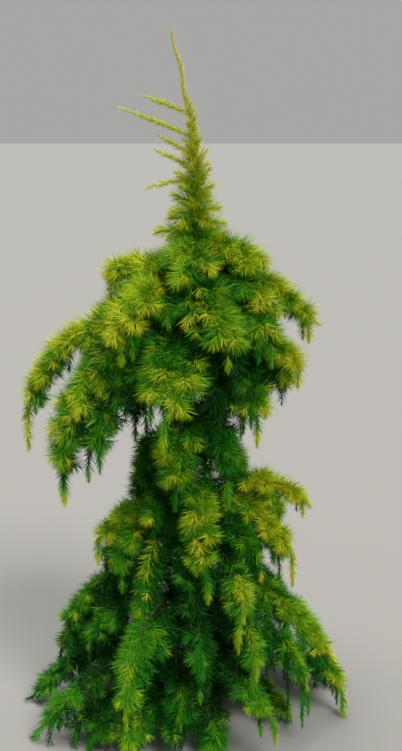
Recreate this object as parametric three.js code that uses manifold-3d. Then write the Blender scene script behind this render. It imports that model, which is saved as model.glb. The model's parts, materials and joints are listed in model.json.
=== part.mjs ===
// A young golden deodar cedar, about 1.8 m tall, as it grows in open ground.
// One trunk runs from a flat cut at ground level to the tip of its bent leader. Boughs leave it at all
// heights, arch over and weep, and each carries one mass of shoots. Between the upper dome and the skirt
// there is a narrow waist.
// Millimetres, +Z up, origin at the middle of the cut under the trunk. The front of the tree faces -Y.
import * as THREE from "three";
import { mergeVertices } from "three/addons/utils/BufferGeometryUtils.js";
import Module from "manifold-3d";

const wasm = await Module();
wasm.setup();

// Trunk
const HEIGHT = 1800;
const FOOT_RADIUS = 16;
const LEADER_RADIUS = 2.2;
const TRUNK_TAPER = 1.1;
const FLARE = 9;
const FLARE_HEIGHT = 38;
const FLARE_LOBES = 5;
const FLARE_LOBE_DEPTH = 0.22;
const TRUNK_SIDES = 10;
const TRUNK_STEPS = 24;
// How far the trunk's middle stands from the vertical, at a few heights: [height, to +X, to +Y]
const TRUNK_LEAN = [
  [0, 0, 0],
  [840, -9, 5],
  [1412, 10, -4],
  [1560, 3, 0],
  [1680, -21, 2],
  [HEIGHT, -48, 0],
];

// Boughs and stems
const BOUGH_SIDES = 6;
const BOUGH_STEPS = 6;
const STEM_SIDES = 3;
const STEM_STEPS = 5;
const STEM_TIP_RADIUS = 1.3;
const BOUGH_SHARE = 0.28; // of a limb's length, up to where its foliage begins
const BARE_SHARE = 0.14; // of a limb that has no bough of its own
const CLEARANCE = 0.35; // between neighbouring solids
const GROUND_REST = 11; // the middle of a shoot that lies on the ground is this high
const LOWEST = 1.5; // nothing else comes nearer to the ground than this

// Shoots, each clothed in needles that stand out to both sides
const NEEDLE = 36;
const SHOOT_SPACING = 38;
const SHOOT_ANGLE = 60; // between a limb and its side shoots, near the trunk
const SHOOT_ANGLE_LOST = 24; // by the tip
const SPRAY_THICKNESS = 0.036; // of a spray's length
const THINNEST_SPRAY = 2.6;
const TERMINAL_SHARE = 0.27; // of a limb, covered by its end shoot
const STEM_END = 1 - TERMINAL_SHARE / 2;
const SMALLEST_EDGE = 0.02;
const ROOT_SUNK = 1; // of a shoot's root, past the middle of its limb
const SHOULDER = 0.9; // of a limb's reach, where it usually bends down
// How a shoot is tried, as a share of its length and a further roll in degrees, until it has room
const TRIES = [
  [1, 0],
  [1, 60],
  [1, -60],
  [0.7, 0],
  [0.7, 60],
];

// The limbs: name, height on the trunk, bearing, reach, lift, fall, length of the side shoots, hang, tint.
// Bearing 0 is +X, 90 the back and 270 the front. Lift is the rise of the arch, fall is how far the tip
// comes down below the start, and hang is how strongly the side shoots weep. A last number says at which
// share of its reach a limb bends down, where that isn't the usual one.
const LIMBS = [
  // The dome, from the leader down to the waist
  ["right_top", 1264, 338, 170, 22, 26, 80, 0.3, "gold"],
  ["front_high", 1262, 266, 170, 34, 70, 88, 0.35, "gold"],
  ["upper_left", 1178, 176, 214, 58, -20, 108, 0.4, "gold"],
  ["right_high", 1172, 332, 205, 54, 55, 98, 0.45, "gold"],
  ["upper_right", 1192, 354, 312, 32, 100, 62, 0.3, "gold", 0.6],
  ["back_high", 1236, 82, 215, 42, 60, 96, 0.4, "gold"],
  ["front_upper", 1190, 277, 195, 34, 90, 92, 0.45, "gold"],
  ["front_left_dome", 1146, 232, 270, 62, 75, 108, 0.45, "gold"],
  ["right_front", 1140, 292, 222, 48, 75, 100, 0.5, "gold"],
  ["right_shoulder", 1118, 326, 232, 42, 45, 98, 0.45, "gold"],
  ["left_shoulder", 1072, 204, 352, 48, 374, 112, 0.55, "lime", 0.94],
  ["left_fall", 1018, 213, 300, 34, 246, 92, 0.6, "lime", 0.82],
  ["back_right", 1100, 40, 262, 45, 160, 104, 0.5, "lime"],
  ["back_left", 1130, 138, 310, 45, 180, 104, 0.5, "lime"],
  ["far_left", 1058, 184, 430, 70, 212, 66, 0.36, "gold", 0.78],
  ["front_fall", 1045, 252, 275, 44, 95, 92, 0.5, "gold"],
  ["back_middle", 1010, 95, 335, 40, 200, 104, 0.55, "lime"],
  ["right_outer", 1008, 348, 284, 50, 24, 104, 0.42, "gold"],
  ["front_low", 985, 262, 312, 48, 62, 104, 0.36, "gold"],
  ["right_fall", 980, 322, 208, 34, 104, 94, 0.5, "lime"],
  ["waist_fall", 862, 308, 164, 20, 138, 62, 0.5, "lime"],
  ["front_waist", 842, 262, 178, 22, 150, 80, 0.5, "lime"],
  // The skirt, from the waist down to the ground
  ["front_column", 742, 279, 232, 28, 270, 58, 0.5, "gold"],
  ["waist_left", 738, 170, 140, 24, 150, 66, 0.6, "deep"],
  ["right_wide", 640, 351, 318, 32, 36, 80, 0.28, "gold"],
  ["left_wide", 606, 200, 258, 12, 92, 66, 0.4, "lime", 0.76],
  ["right_second", 620, 337, 294, 28, 132, 60, 0.5, "lime", 0.7],
  ["back_waist", 600, 92, 225, 28, 150, 96, 0.6, "deep"],
  ["front_shade", 590, 266, 205, 24, 150, 76, 0.6, "lime"],
  ["left_curtain", 560, 240, 245, 24, 220, 70, 0.85, "lime"],
  ["back_lower_right", 520, 40, 335, 32, 180, 102, 0.6, "lime"],
  ["front_right_fall", 500, 298, 288, 28, 120, 64, 0.9, "lime"],
  ["back_lower_left", 480, 140, 330, 32, 180, 102, 0.6, "green"],
  ["left_middle", 400, 187, 342, 30, 170, 76, 0.9, "green"],
  ["right_sweep", 372, 350, 428, 36, 330, 78, 0.7, "lime", 0.77],
  ["front_right_middle", 390, 300, 330, 24, 150, 66, 0.9, "lime"],
  ["front_dome", 350, 248, 412, 48, 190, 80, 0.75, "green"],
  ["front_inner", 325, 276, 300, 34, 75, 64, 0.8, "deep"],
  ["right_inner", 290, 326, 362, 28, 130, 66, 0.9, "lime"],
  ["back_skirt_right", 262, 24, 420, 24, 225, 104, 0.4, "green"],
  ["back_skirt_left", 250, 150, 385, 24, 220, 104, 0.4, "deep"],
  ["front_right_low", 240, 303, 372, 24, 112, 66, 0.7, "green"],
  ["left_low", 200, 181, 462, 14, 210, 76, 0.55, "green", 0.76],
  ["back_skirt_middle", 230, 88, 430, 24, 200, 104, 0.4, "green"],
  ["left_lowest", 190, 207, 462, 20, 172, 76, 0.55, "green", 0.76],
  ["front_skirt", 148, 262, 300, 20, 112, 70, 0.5, "deep"],
];
// The strong limbs, whose bare inner part is a bough of its own
const BOUGHS = [
  "upper_right",
  "left_shoulder",
  "back_right",
  "back_left",
  "far_left",
  "right_wide",
  "right_sweep",
  "front_dome",
  "back_skirt_middle",
];
const BOUGH_RADIUS = 2.4; // at the trunk, and this share of the reach more
const BOUGH_RADIUS_BY_REACH = 0.0088;

// The young shoots on the leader and round its foot. Each mass has a slim stem that runs up beside the trunk:
// name, bearing of the stem, from height, to height, tint, then its shoots as
// [height, bearing, length, rise in degrees, sag, half width, roll in degrees]
const LEADER_MASSES = [
  ["leader_left", 184, 1436, 1780, "gold", [
    [1602, 180, 128, 24, 0.04, 15, 70],
    [1548, 184, 192, 24, 0.05, 16, 80],
    [1503, 175, 98, 32, 0.05, 18, 60],
    [1468, 190, 124, 32, 0.1, 22, 70],
    [1450, 181, 136, 4, 0.2, 22, 50],
    [1516, 150, 84, 50, 0, 18, 10],
    [1560, 212, 66, 60, 0, 16, 30],
    [1620, 232, 62, 66, 0, 13, 0],
    [1668, 140, 56, 70, 0, 11, 0],
    [1712, 226, 50, 72, 0, 9, 0],
  ]],
  ["leader_right", 4, 1436, 1772, "gold", [
    [1446, 345, 88, 28, 0.15, 24, 60],
    [1462, 30, 98, 34, 0.15, 24, 30],
    [1486, 318, 80, 44, 0.05, 22, 60],
    [1520, 5, 72, 52, 0, 19, 40],
    [1532, 70, 94, 36, 0.05, 18, 20],
    [1572, 330, 64, 60, 0, 15, 30],
    [1618, 40, 60, 66, 0, 13, 0],
    [1660, 316, 56, 68, 0, 12, 0],
    [1706, 330, 52, 72, 0, 10, 0],
    [1740, 40, 48, 72, 0, 8, 0],
  ]],
  ["collar_front", 262, 1300, 1440, "gold", [
    [1316, 226, 98, 2, 0.3, 34, 60],
    [1324, 300, 94, 0, 0.3, 34, -60],
    [1350, 196, 88, 14, 0.25, 32, 60],
    [1358, 262, 82, 16, 0.25, 32, 20],
    [1384, 318, 78, 24, 0.2, 30, -60],
    [1396, 216, 78, 26, 0.2, 30, 60],
    [1420, 252, 66, 40, 0.1, 28, 20],
    [1430, 330, 66, 40, 0.1, 26, -40],
  ]],
  ["collar_back", 90, 1300, 1440, "gold", [
    [1314, 134, 98, 4, 0.3, 34, 60],
    [1322, 46, 96, 2, 0.3, 34, -60],
    [1350, 168, 88, 14, 0.25, 32, 60],
    [1362, 95, 80, 16, 0.25, 32, 20],
    [1378, 20, 80, 24, 0.2, 30, -60],
    [1398, 150, 76, 26, 0.2, 30, 60],
    [1424, 70, 62, 44, 0.1, 26, 0],
  ]],
];
const LEADER_STEM_RADIUS = 2.4;
const LEADER_STEM_STOPS = [0, 0.125, 0.25, 0.375, 0.5, 0.625, 0.75, 0.875, 1]; // of its length
const LEADER_STEM_OFFSET = 4.4; // of its middle, out from the trunk's surface
const LEADER_STEM_ROOT = 22; // how far it starts below, in the trunk

const COLOURS = {
  bark: 0x6b5a48,
  gold: 0xc4b82a,
  lime: 0x8fa81f,
  green: 0x3f7a1c,
  deep: 0x1f4a18,
};

const UP = new THREE.Vector3(0, 0, 1);
const radians = THREE.MathUtils.degToRad;

// A repeatable number from 0 to 1 for a few whole numbers.
function chance(...keys) {
  let mixed = 0x9e3779b9;
  for (const key of keys) {
    mixed = Math.imul(mixed ^ key, 0x85ebca6b);
    mixed ^= mixed >>> 13;
    mixed = Math.imul(mixed, 0xc2b2ae35);
    mixed ^= mixed >>> 16;
  }
  return (mixed >>> 0) / 2 ** 32;
}

function outward(bearing) {
  return new THREE.Vector3(Math.cos(radians(bearing)), Math.sin(radians(bearing)), 0);
}

// A shoot that comes down to the ground lies along it.
function aboveGround(point) {
  if (point.z < 2 * GROUND_REST) {
    const z = Math.max(0, point.z);
    point.z = GROUND_REST + (z * z) / (4 * GROUND_REST);
  }
  return point;
}

// A path with a steady sideways direction, so that what is built along it doesn't spin round it.
class Path {
  constructor(curve, heading) {
    this.curve = curve;
    this.side = heading.clone().cross(UP).normalize();
  }
  frame(u) {
    const point = aboveGround(this.curve.getPointAt(u));
    const before = aboveGround(this.curve.getPointAt(Math.max(0, u - 0.02)));
    const after = aboveGround(this.curve.getPointAt(Math.min(1, u + 0.02)));
    const along = after.sub(before).normalize();
    const side = this.side.clone().addScaledVector(along, -this.side.dot(along)).normalize();
    return { point, along, side, up: side.clone().cross(along) };
  }
  length() {
    return this.curve.getLength();
  }
}

function trunkMiddle(height) {
  const next = TRUNK_LEAN.findIndex(([top]) => top >= height);
  const [high, xHigh, yHigh] = TRUNK_LEAN[Math.max(1, next)];
  const [low, xLow, yLow] = TRUNK_LEAN[Math.max(1, next) - 1];
  const share = THREE.MathUtils.smoothstep(height, low, high);
  return new THREE.Vector3(
    THREE.MathUtils.lerp(xLow, xHigh, share),
    THREE.MathUtils.lerp(yLow, yHigh, share),
    height,
  );
}

function trunkRadius(height) {
  const share = Math.max(0, 1 - height / HEIGHT);
  return LEADER_RADIUS + (FOOT_RADIUS - LEADER_RADIUS) * share ** TRUNK_TAPER;
}

function flare(height, angle) {
  const lobes = 1 + FLARE_LOBE_DEPTH * Math.cos(FLARE_LOBES * angle);
  return FLARE * Math.exp(-height / FLARE_HEIGHT) * lobes;
}

function solidOf(geometry) {
  geometry.deleteAttribute("normal");
  geometry.deleteAttribute("uv");
  const merged = mergeVertices(geometry);
  return new wasm.Manifold(
    new wasm.Mesh({
      numProp: 3,
      vertProperties: merged.attributes.position.array,
      triVerts: new Uint32Array(merged.index.array),
    }),
  );
}

function moveVertices(geometry, place) {
  const position = geometry.attributes.position;
  for (let i = 0; i < position.count; i++) {
    const moved = place(new THREE.Vector3().fromBufferAttribute(position, i));
    position.setXYZ(i, moved.x, moved.y, moved.z);
  }
  return geometry;
}

// The trunk: level sections on its leaning middle line, closer together at the flare.
function trunkSolid(extra = 0) {
  const tube = new THREE.CylinderGeometry(1, 1, 1, TRUNK_SIDES, TRUNK_STEPS);
  return solidOf(
    moveVertices(tube, (v) => {
      const height = HEIGHT * (v.y + 0.5) ** 1.3;
      const angle = Math.atan2(-v.z, v.x);
      const radius = trunkRadius(height) + flare(height, angle) + extra;
      const middle = trunkMiddle(height);
      return middle.add(new THREE.Vector3(v.x * radius, -v.z * radius, 0));
    }),
  );
}

// A tapering limb along part of a path.
function limbSolid(path, from, to, radiusAt, sides, steps) {
  const tube = new THREE.CylinderGeometry(1, 1, 1, sides, steps);
  return solidOf(
    moveVertices(tube, (v) => {
      const u = THREE.MathUtils.lerp(from, to, v.y + 0.5);
      const { point, side, up } = path.frame(u);
      point.addScaledVector(side, v.x * radiusAt(u)).addScaledVector(up, v.z * radiusAt(u));
      point.z = Math.max(point.z, LOWEST);
      return point;
    }),
  );
}

// The middle of a limb that was built in straight steps, so that what grows on it is rooted in it.
function limbMiddle(path, from, to, steps, u) {
  const step = Math.min(steps - 1, Math.max(0, Math.floor(((u - from) / (to - from)) * steps)));
  const stop = (number) => THREE.MathUtils.lerp(from, to, number / steps);
  const share = (u - stop(step)) / (stop(step + 1) - stop(step));
  return path.frame(stop(step)).point.lerp(path.frame(stop(step + 1)).point, share);
}

// One side of a spray's outline, from root to tip: share of its length, share of its half width.
const SPRAY_TEETH = [
  [0.5, 1],
  [0.56, 0.36],
  [0.88, 0.82],
  [0.8, 0.2],
];

// A spray of needles along a shoot: a thin toothed blade that is thickest at its midrib.
function spraySolid(path, halfWidth, roll) {
  const outline = [
    [0, 0],
    ...SPRAY_TEETH,
    [1, 0],
    ...SPRAY_TEETH.map(([along, across]) => [along, -across]).reverse(),
  ];
  const thickness = Math.max(THINNEST_SPRAY, SPRAY_THICKNESS * path.length());
  const disc = new THREE.SphereGeometry(1, outline.length, 2);
  return solidOf(
    moveVertices(disc, (v) => {
      const pole = Math.abs(v.y) > 0.5;
      const turn = Math.atan2(-v.z, v.x) / (2 * Math.PI);
      const number = Math.round(turn * outline.length + outline.length) % outline.length;
      const [along, across] = pole ? [0.45, 0] : outline[number];
      const { point, side, up } = path.frame(along);
      const wide = side.clone().multiplyScalar(Math.cos(roll)).addScaledVector(up, Math.sin(roll));
      const thick = up.clone().multiplyScalar(Math.cos(roll)).addScaledVector(side, -Math.sin(roll));
      point.addScaledVector(wide, across * halfWidth);
      if (pole) point.addScaledVector(thick, (Math.sign(v.y) * thickness) / 2);
      point.z = Math.max(point.z, LOWEST);
      return point;
    }),
  );
}

// A shoot leaves its limb in one direction and sags towards its tip. Its root is sunk in the limb.
function shootPath(from, direction, length, sag) {
  const start = from.clone().addScaledVector(direction, -ROOT_SUNK);
  const middle = start.clone().addScaledVector(direction, length / 2);
  const end = start.clone().addScaledVector(direction, length).addScaledVector(UP, -sag * length);
  const heading = direction.clone().setZ(0);
  if (heading.length() < 0.05) heading.set(1, 0, 0);
  return new Path(new THREE.QuadraticBezierCurve3(start, middle, end), heading);
}

// A limb's path: out and up from the trunk's middle, over the arch and down to its tip.
function limbPath(number, [, height, bearing, reach, lift, fall, , , , shoulder = SHOULDER]) {
  const start = trunkMiddle(height);
  const out = outward(bearing);
  const swing = outward(bearing + 90).multiplyScalar(reach * 0.24 * (chance(number, 1) - 0.5));
  const place = (far, high) =>
    start.clone().addScaledVector(out, far * reach).addScaledVector(UP, high);
  const curve = new THREE.CubicBezierCurve3(
    start,
    place(0.38, 1.5 * lift),
    place(shoulder, 1.3 * lift - 0.15 * fall).add(swing),
    place(1, -fall),
  );
  return new Path(curve, out);
}

// The side shoots of a limb, from its tip inwards, and its end shoot.
function limbShoots(number, path, from, middleAt, [, , , , , , spread, hang]) {
  const count = Math.max(3, Math.round(((1 - from) * path.length()) / SHOOT_SPACING));
  const endRoll = radians(50 * (chance(number, 0, 6) < 0.5 ? 1 : -1));
  const shoots = [endShoot(path, middleAt(1 - TERMINAL_SHARE), endRoll)];
  for (let i = count - 1; i >= 0; i--) {
    const share = (i + 0.5) / count;
    const u = from + (1 - from) * (0.04 + 0.9 * share);
    const point = middleAt(Math.min(u, STEM_END));
    const { along, side, up } = path.frame(u);
    const hand = i % 2 ? 1 : -1;
    const turn = SHOOT_ANGLE - SHOOT_ANGLE_LOST * share + 14 * (chance(number, i, 2) - 0.5);
    const tilt = 1.2 * (chance(number, i, 3) - 0.42);
    const direction = along
      .clone()
      .multiplyScalar(Math.cos(radians(turn)))
      .addScaledVector(side, hand * Math.sin(radians(turn)))
      .addScaledVector(up, tilt)
      .normalize();
    const length = spread * (1.24 - 0.62 * share ** 1.4) * (0.85 + 0.3 * chance(number, i, 4));
    const sag = hang * (0.5 + 0.7 * chance(number, i, 5));
    const roll = radians(160 * (chance(number, i, 6) - 0.5));
    const pathOf = (part) => shootPath(point, direction, length * part, sag);
    shoots.push({ pathOf, halfWidth: NEEDLE, roll });
  }
  return shoots;
}

function endShoot(path, start, roll) {
  const middle = path.frame(1 - TERMINAL_SHARE / 2).point;
  const end = path.frame(1).point;
  const bend = middle.multiplyScalar(2).addScaledVector(start, -0.5).addScaledVector(end, -0.5);
  const curve = new THREE.QuadraticBezierCurve3(start, bend, end);
  const heading = new THREE.Vector3().crossVectors(UP, path.side);
  return { pathOf: () => new Path(curve, heading), halfWidth: 0.8 * NEEDLE, roll };
}

// Solids that are already placed. Only its own shoots may touch a stem.
const placed = [];

function place(solid, stemOf = "") {
  placed.push({ solid, stemOf, box: solid.boundingBox() });
}

function near(a, b) {
  return [0, 1, 2].every(
    (axis) => a.min[axis] - CLEARANCE < b.max[axis] && b.min[axis] - CLEARANCE < a.max[axis],
  );
}

// Whether a shoot of one mass is clear of everything else.
function isClear(owner, solid) {
  const box = solid.boundingBox();
  return placed.every(
    (other) =>
      other.stemOf === owner ||
      !near(box, other.box) ||
      solid.minGap(other.solid, 2 * CLEARANCE) >= CLEARANCE,
  );
}

function meshOf(name, solid, colour) {
  const mesh = solid.getMesh();
  const geometry = new THREE.BufferGeometry();
  geometry.setAttribute("position", new THREE.BufferAttribute(mesh.vertProperties, 3));
  geometry.setIndex(new THREE.BufferAttribute(mesh.triVerts, 1));
  geometry.computeVertexNormals();
  const material = new THREE.MeshStandardMaterial({ color: colour, roughness: 0.8, metalness: 0 });
  const made = new THREE.Mesh(geometry, material);
  made.name = name;
  return made;
}

// A limb's bough, if it has one, and the stem and shoots of its mass of foliage.
function growLimb(row, number) {
  const [name, , , reach, , , , , tint] = row;
  const path = limbPath(number, row);
  const root = BOUGH_RADIUS + BOUGH_RADIUS_BY_REACH * reach;
  const radiusAt = (u) => STEM_TIP_RADIUS + (root - STEM_TIP_RADIUS) * (1 - u) ** 0.8;
  const hasBough = BOUGHS.includes(name);
  const gap = CLEARANCE / path.length();
  const from = hasBough ? BOUGH_SHARE : BARE_SHARE;
  const stemFrom = hasBough ? from + gap : 0;
  const stem = limbSolid(path, stemFrom, STEM_END, radiusAt, STEM_SIDES, STEM_STEPS);
  const middleAt = (u) => limbMiddle(path, stemFrom, STEM_END, STEM_STEPS, u);
  const grown = {
    owner: "foliage_" + name,
    tint,
    stem: hasBough ? stem : stem.subtract(trunkSleeve),
    shoots: limbShoots(number, path, from, middleAt, row),
  };
  if (hasBough) {
    const bough = limbSolid(path, 0, from, radiusAt, BOUGH_SIDES, BOUGH_STEPS);
    grown.bough = { name: "bough_" + name, solid: bough.subtract(trunkSleeve) };
  }
  return grown;
}

// A slim stem beside the trunk, with its young shoots.
function growLeaderMass([name, bearing, from, to, tint, shoots]) {
  const beside = (height) =>
    trunkMiddle(height).addScaledVector(
      outward(bearing),
      trunkRadius(height) + LEADER_STEM_OFFSET,
    );
  const heights = LEADER_STEM_STOPS.map((share) => THREE.MathUtils.lerp(from, to, share));
  const stops = [trunkMiddle(from - LEADER_STEM_ROOT), ...heights.map(beside)];
  const stemPath = new Path(new THREE.CatmullRomCurve3(stops), outward(bearing));
  const stem = limbSolid(stemPath, 0, 1, () => LEADER_STEM_RADIUS, STEM_SIDES, 12);
  return {
    owner: "foliage_" + name,
    tint,
    stem: stem.subtract(trunkSleeve),
    shoots: shoots.map(([height, towards, length, rise, sag, halfWidth, roll]) => {
      const direction = outward(towards)
        .multiplyScalar(Math.cos(radians(rise)))
        .addScaledVector(UP, Math.sin(radians(rise)));
      const pathOf = (part) => shootPath(beside(height), direction, length * part, sag);
      return { pathOf, halfWidth, roll: radians(roll) };
    }),
  };
}

const trunk = trunkSolid();
const trunkSleeve = trunkSolid(CLEARANCE);
place(trunk);

const grown = [
  ...LEADER_MASSES.map(growLeaderMass),
  ...LIMBS.map((row, number) => growLimb(row, number + 1)),
];
for (const { owner, stem, bough } of grown) {
  place(stem, owner);
  if (bough) place(bough.solid);
}

// Every mass adds its shoots in turn, from its tip inwards. A shoot that would touch a neighbour or a limb
// is tried again with another roll or shorter, and left out if it still would.
const masses = new Map(grown.map(({ owner, stem }) => [owner, [stem]]));
const mostShoots = Math.max(...grown.map(({ shoots }) => shoots.length));
for (let turn = 0; turn < mostShoots; turn++) {
  for (const { owner, shoots } of grown) {
    if (turn >= shoots.length) continue;
    const { pathOf, halfWidth, roll } = shoots[turn];
    const spray = TRIES.map(([part, turned]) =>
      spraySolid(pathOf(part), halfWidth * part, roll + radians(turned)),
    ).find((tried) => isClear(owner, tried));
    if (!spray) continue;
    place(spray);
    masses.get(owner).push(spray);
  }
}

const tree = new THREE.Group();
tree.name = "golden_deodar_cedar";
tree.add(meshOf("trunk", trunk, COLOURS.bark));
for (const { owner, tint, bough } of grown) {
  if (bough) tree.add(meshOf(bough.name, bough.solid, COLOURS.bark));
  tree.add(meshOf(owner, wasm.Manifold.union(masses.get(owner)).simplify(SMALLEST_EDGE), COLOURS[tint]));
}

export default tree;
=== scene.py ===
"""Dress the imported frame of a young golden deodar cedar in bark, twigs and needles.

The limbs follow the same rule as the solids: boughs leave the trunk, arch over and weep, and side shoots
leave them in turn. Here the rule goes on to finer shoots, and every shoot is clothed in single needles.
Blender's metres and the frame's axes are used throughout. The tables of limbs and whips keep the source's
millimetres.
"""

from __future__ import annotations

import json
import logging
import math
from collections import Counter
from collections.abc import Callable, Iterable, Sequence
from dataclasses import dataclass, field
from enum import Enum, IntEnum

import bpy
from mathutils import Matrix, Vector, noise

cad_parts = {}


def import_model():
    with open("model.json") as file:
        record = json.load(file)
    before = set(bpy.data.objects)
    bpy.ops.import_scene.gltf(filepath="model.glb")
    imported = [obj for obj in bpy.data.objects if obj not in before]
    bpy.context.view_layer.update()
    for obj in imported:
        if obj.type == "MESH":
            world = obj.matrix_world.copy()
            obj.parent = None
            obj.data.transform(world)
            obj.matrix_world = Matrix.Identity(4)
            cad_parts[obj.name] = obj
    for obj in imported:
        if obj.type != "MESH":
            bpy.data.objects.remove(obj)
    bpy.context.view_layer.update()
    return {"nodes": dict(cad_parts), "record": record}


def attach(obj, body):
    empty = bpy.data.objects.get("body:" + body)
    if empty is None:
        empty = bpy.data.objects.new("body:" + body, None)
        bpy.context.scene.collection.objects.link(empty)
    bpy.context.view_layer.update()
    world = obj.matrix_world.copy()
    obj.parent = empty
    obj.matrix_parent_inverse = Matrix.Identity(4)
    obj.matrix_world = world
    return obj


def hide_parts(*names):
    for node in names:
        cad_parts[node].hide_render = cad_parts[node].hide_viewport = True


logging.basicConfig(level=logging.INFO, format="%(message)s")
LOG = logging.getLogger("deodar")

MM = 0.001
UP = Vector((0.0, 0.0, 1.0))
GOLDEN_ANGLE = math.radians(137.508)


class Tint(Enum):
    """A colour of needle: its slot in the record, the least light it is given at, and its thinning.

    The tints are partly the cultivar's own, golden in full light and green in shade, and partly painted
    light
    and shade: the darker ones also stand in for the shade inside the crown, and the brighter ones for the
    light on its outer tips.

    Thinning is how much farther apart its needles are, because shaded shoots lose theirs.
    """

    DEEP = ("needles_deep", -math.inf, 2.7)
    GREEN = ("needles_green", 0.28, 1.35)
    LIME = ("needles_lime", 0.50, 1.0)
    GOLD = ("needles_gold", 0.76, 1.0)
    BRIGHT = ("needles_gold", 0.98, 1.0)
    PALE = ("needles_gold", 1.3, 1.0)

    def __init__(self, slot: str, least_light: float, thinning: float) -> None:
        """Name the parts of a tint.

        Args:
            slot: The record's material slot.
            least_light: The light above which a spray has this tint.
            thinning: How much farther apart its needles are.
        """
        self.slot = slot
        self.least_light = least_light
        self.thinning = thinning

    @classmethod
    def of_light(cls, light: float) -> Tint:
        """The tint of a spray that gets this much light."""
        return max((tint for tint in cls if light >= tint.least_light), key=lambda tint: tint.least_light)

    @property
    def underneath(self) -> Tint:
        """The tint of the needles on the shaded side of such a spray, two steps darker."""
        tints = list(Tint)
        return tints[max(0, tints.index(self) - 2)]


class Draw(IntEnum):
    """What a random number is drawn for, so that each choice has numbers of its own."""

    SWING = 1
    TURN = 2
    TILT = 3
    LENGTH = 4
    SAG = 5
    LIGHT = 8
    FINE_TURN = 11
    FINE_TILT = 12
    FINE_LENGTH = 13
    FINE_LIGHT = 14
    PENDANT_PLACE = 21
    PENDANT_SIDE = 22
    PENDANT_LENGTH = 23
    LEADER_RISE = 600
    LEADER_LENGTH = 601
    LEADER_LIGHT = 602


@dataclass(frozen=True)
class LimbPlan:
    """One limb: where it leaves the trunk and how it arches, in millimetres and degrees.

    Bearing 0 is +X, 90 the back and 270 the front. Lift is the rise of the arch, fall is how far the tip
    comes down below the start, spread is the length of the side shoots and hang is how strongly they weep.
    Light is how much its foliage gets, about 1 in the open, and it sets only the tint of its needles: golden
    where it is high, as the cultivar is in full light, and darker green where it is low, which is painted
    shade. Shoulder is the share of the reach at which the limb bends down: the less it is, the straighter
    the limb slants.
    """

    name: str
    height: float
    bearing: float
    reach: float
    lift: float
    fall: float
    spread: float
    hang: float
    light: float
    shoulder: float = 0.9


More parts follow.
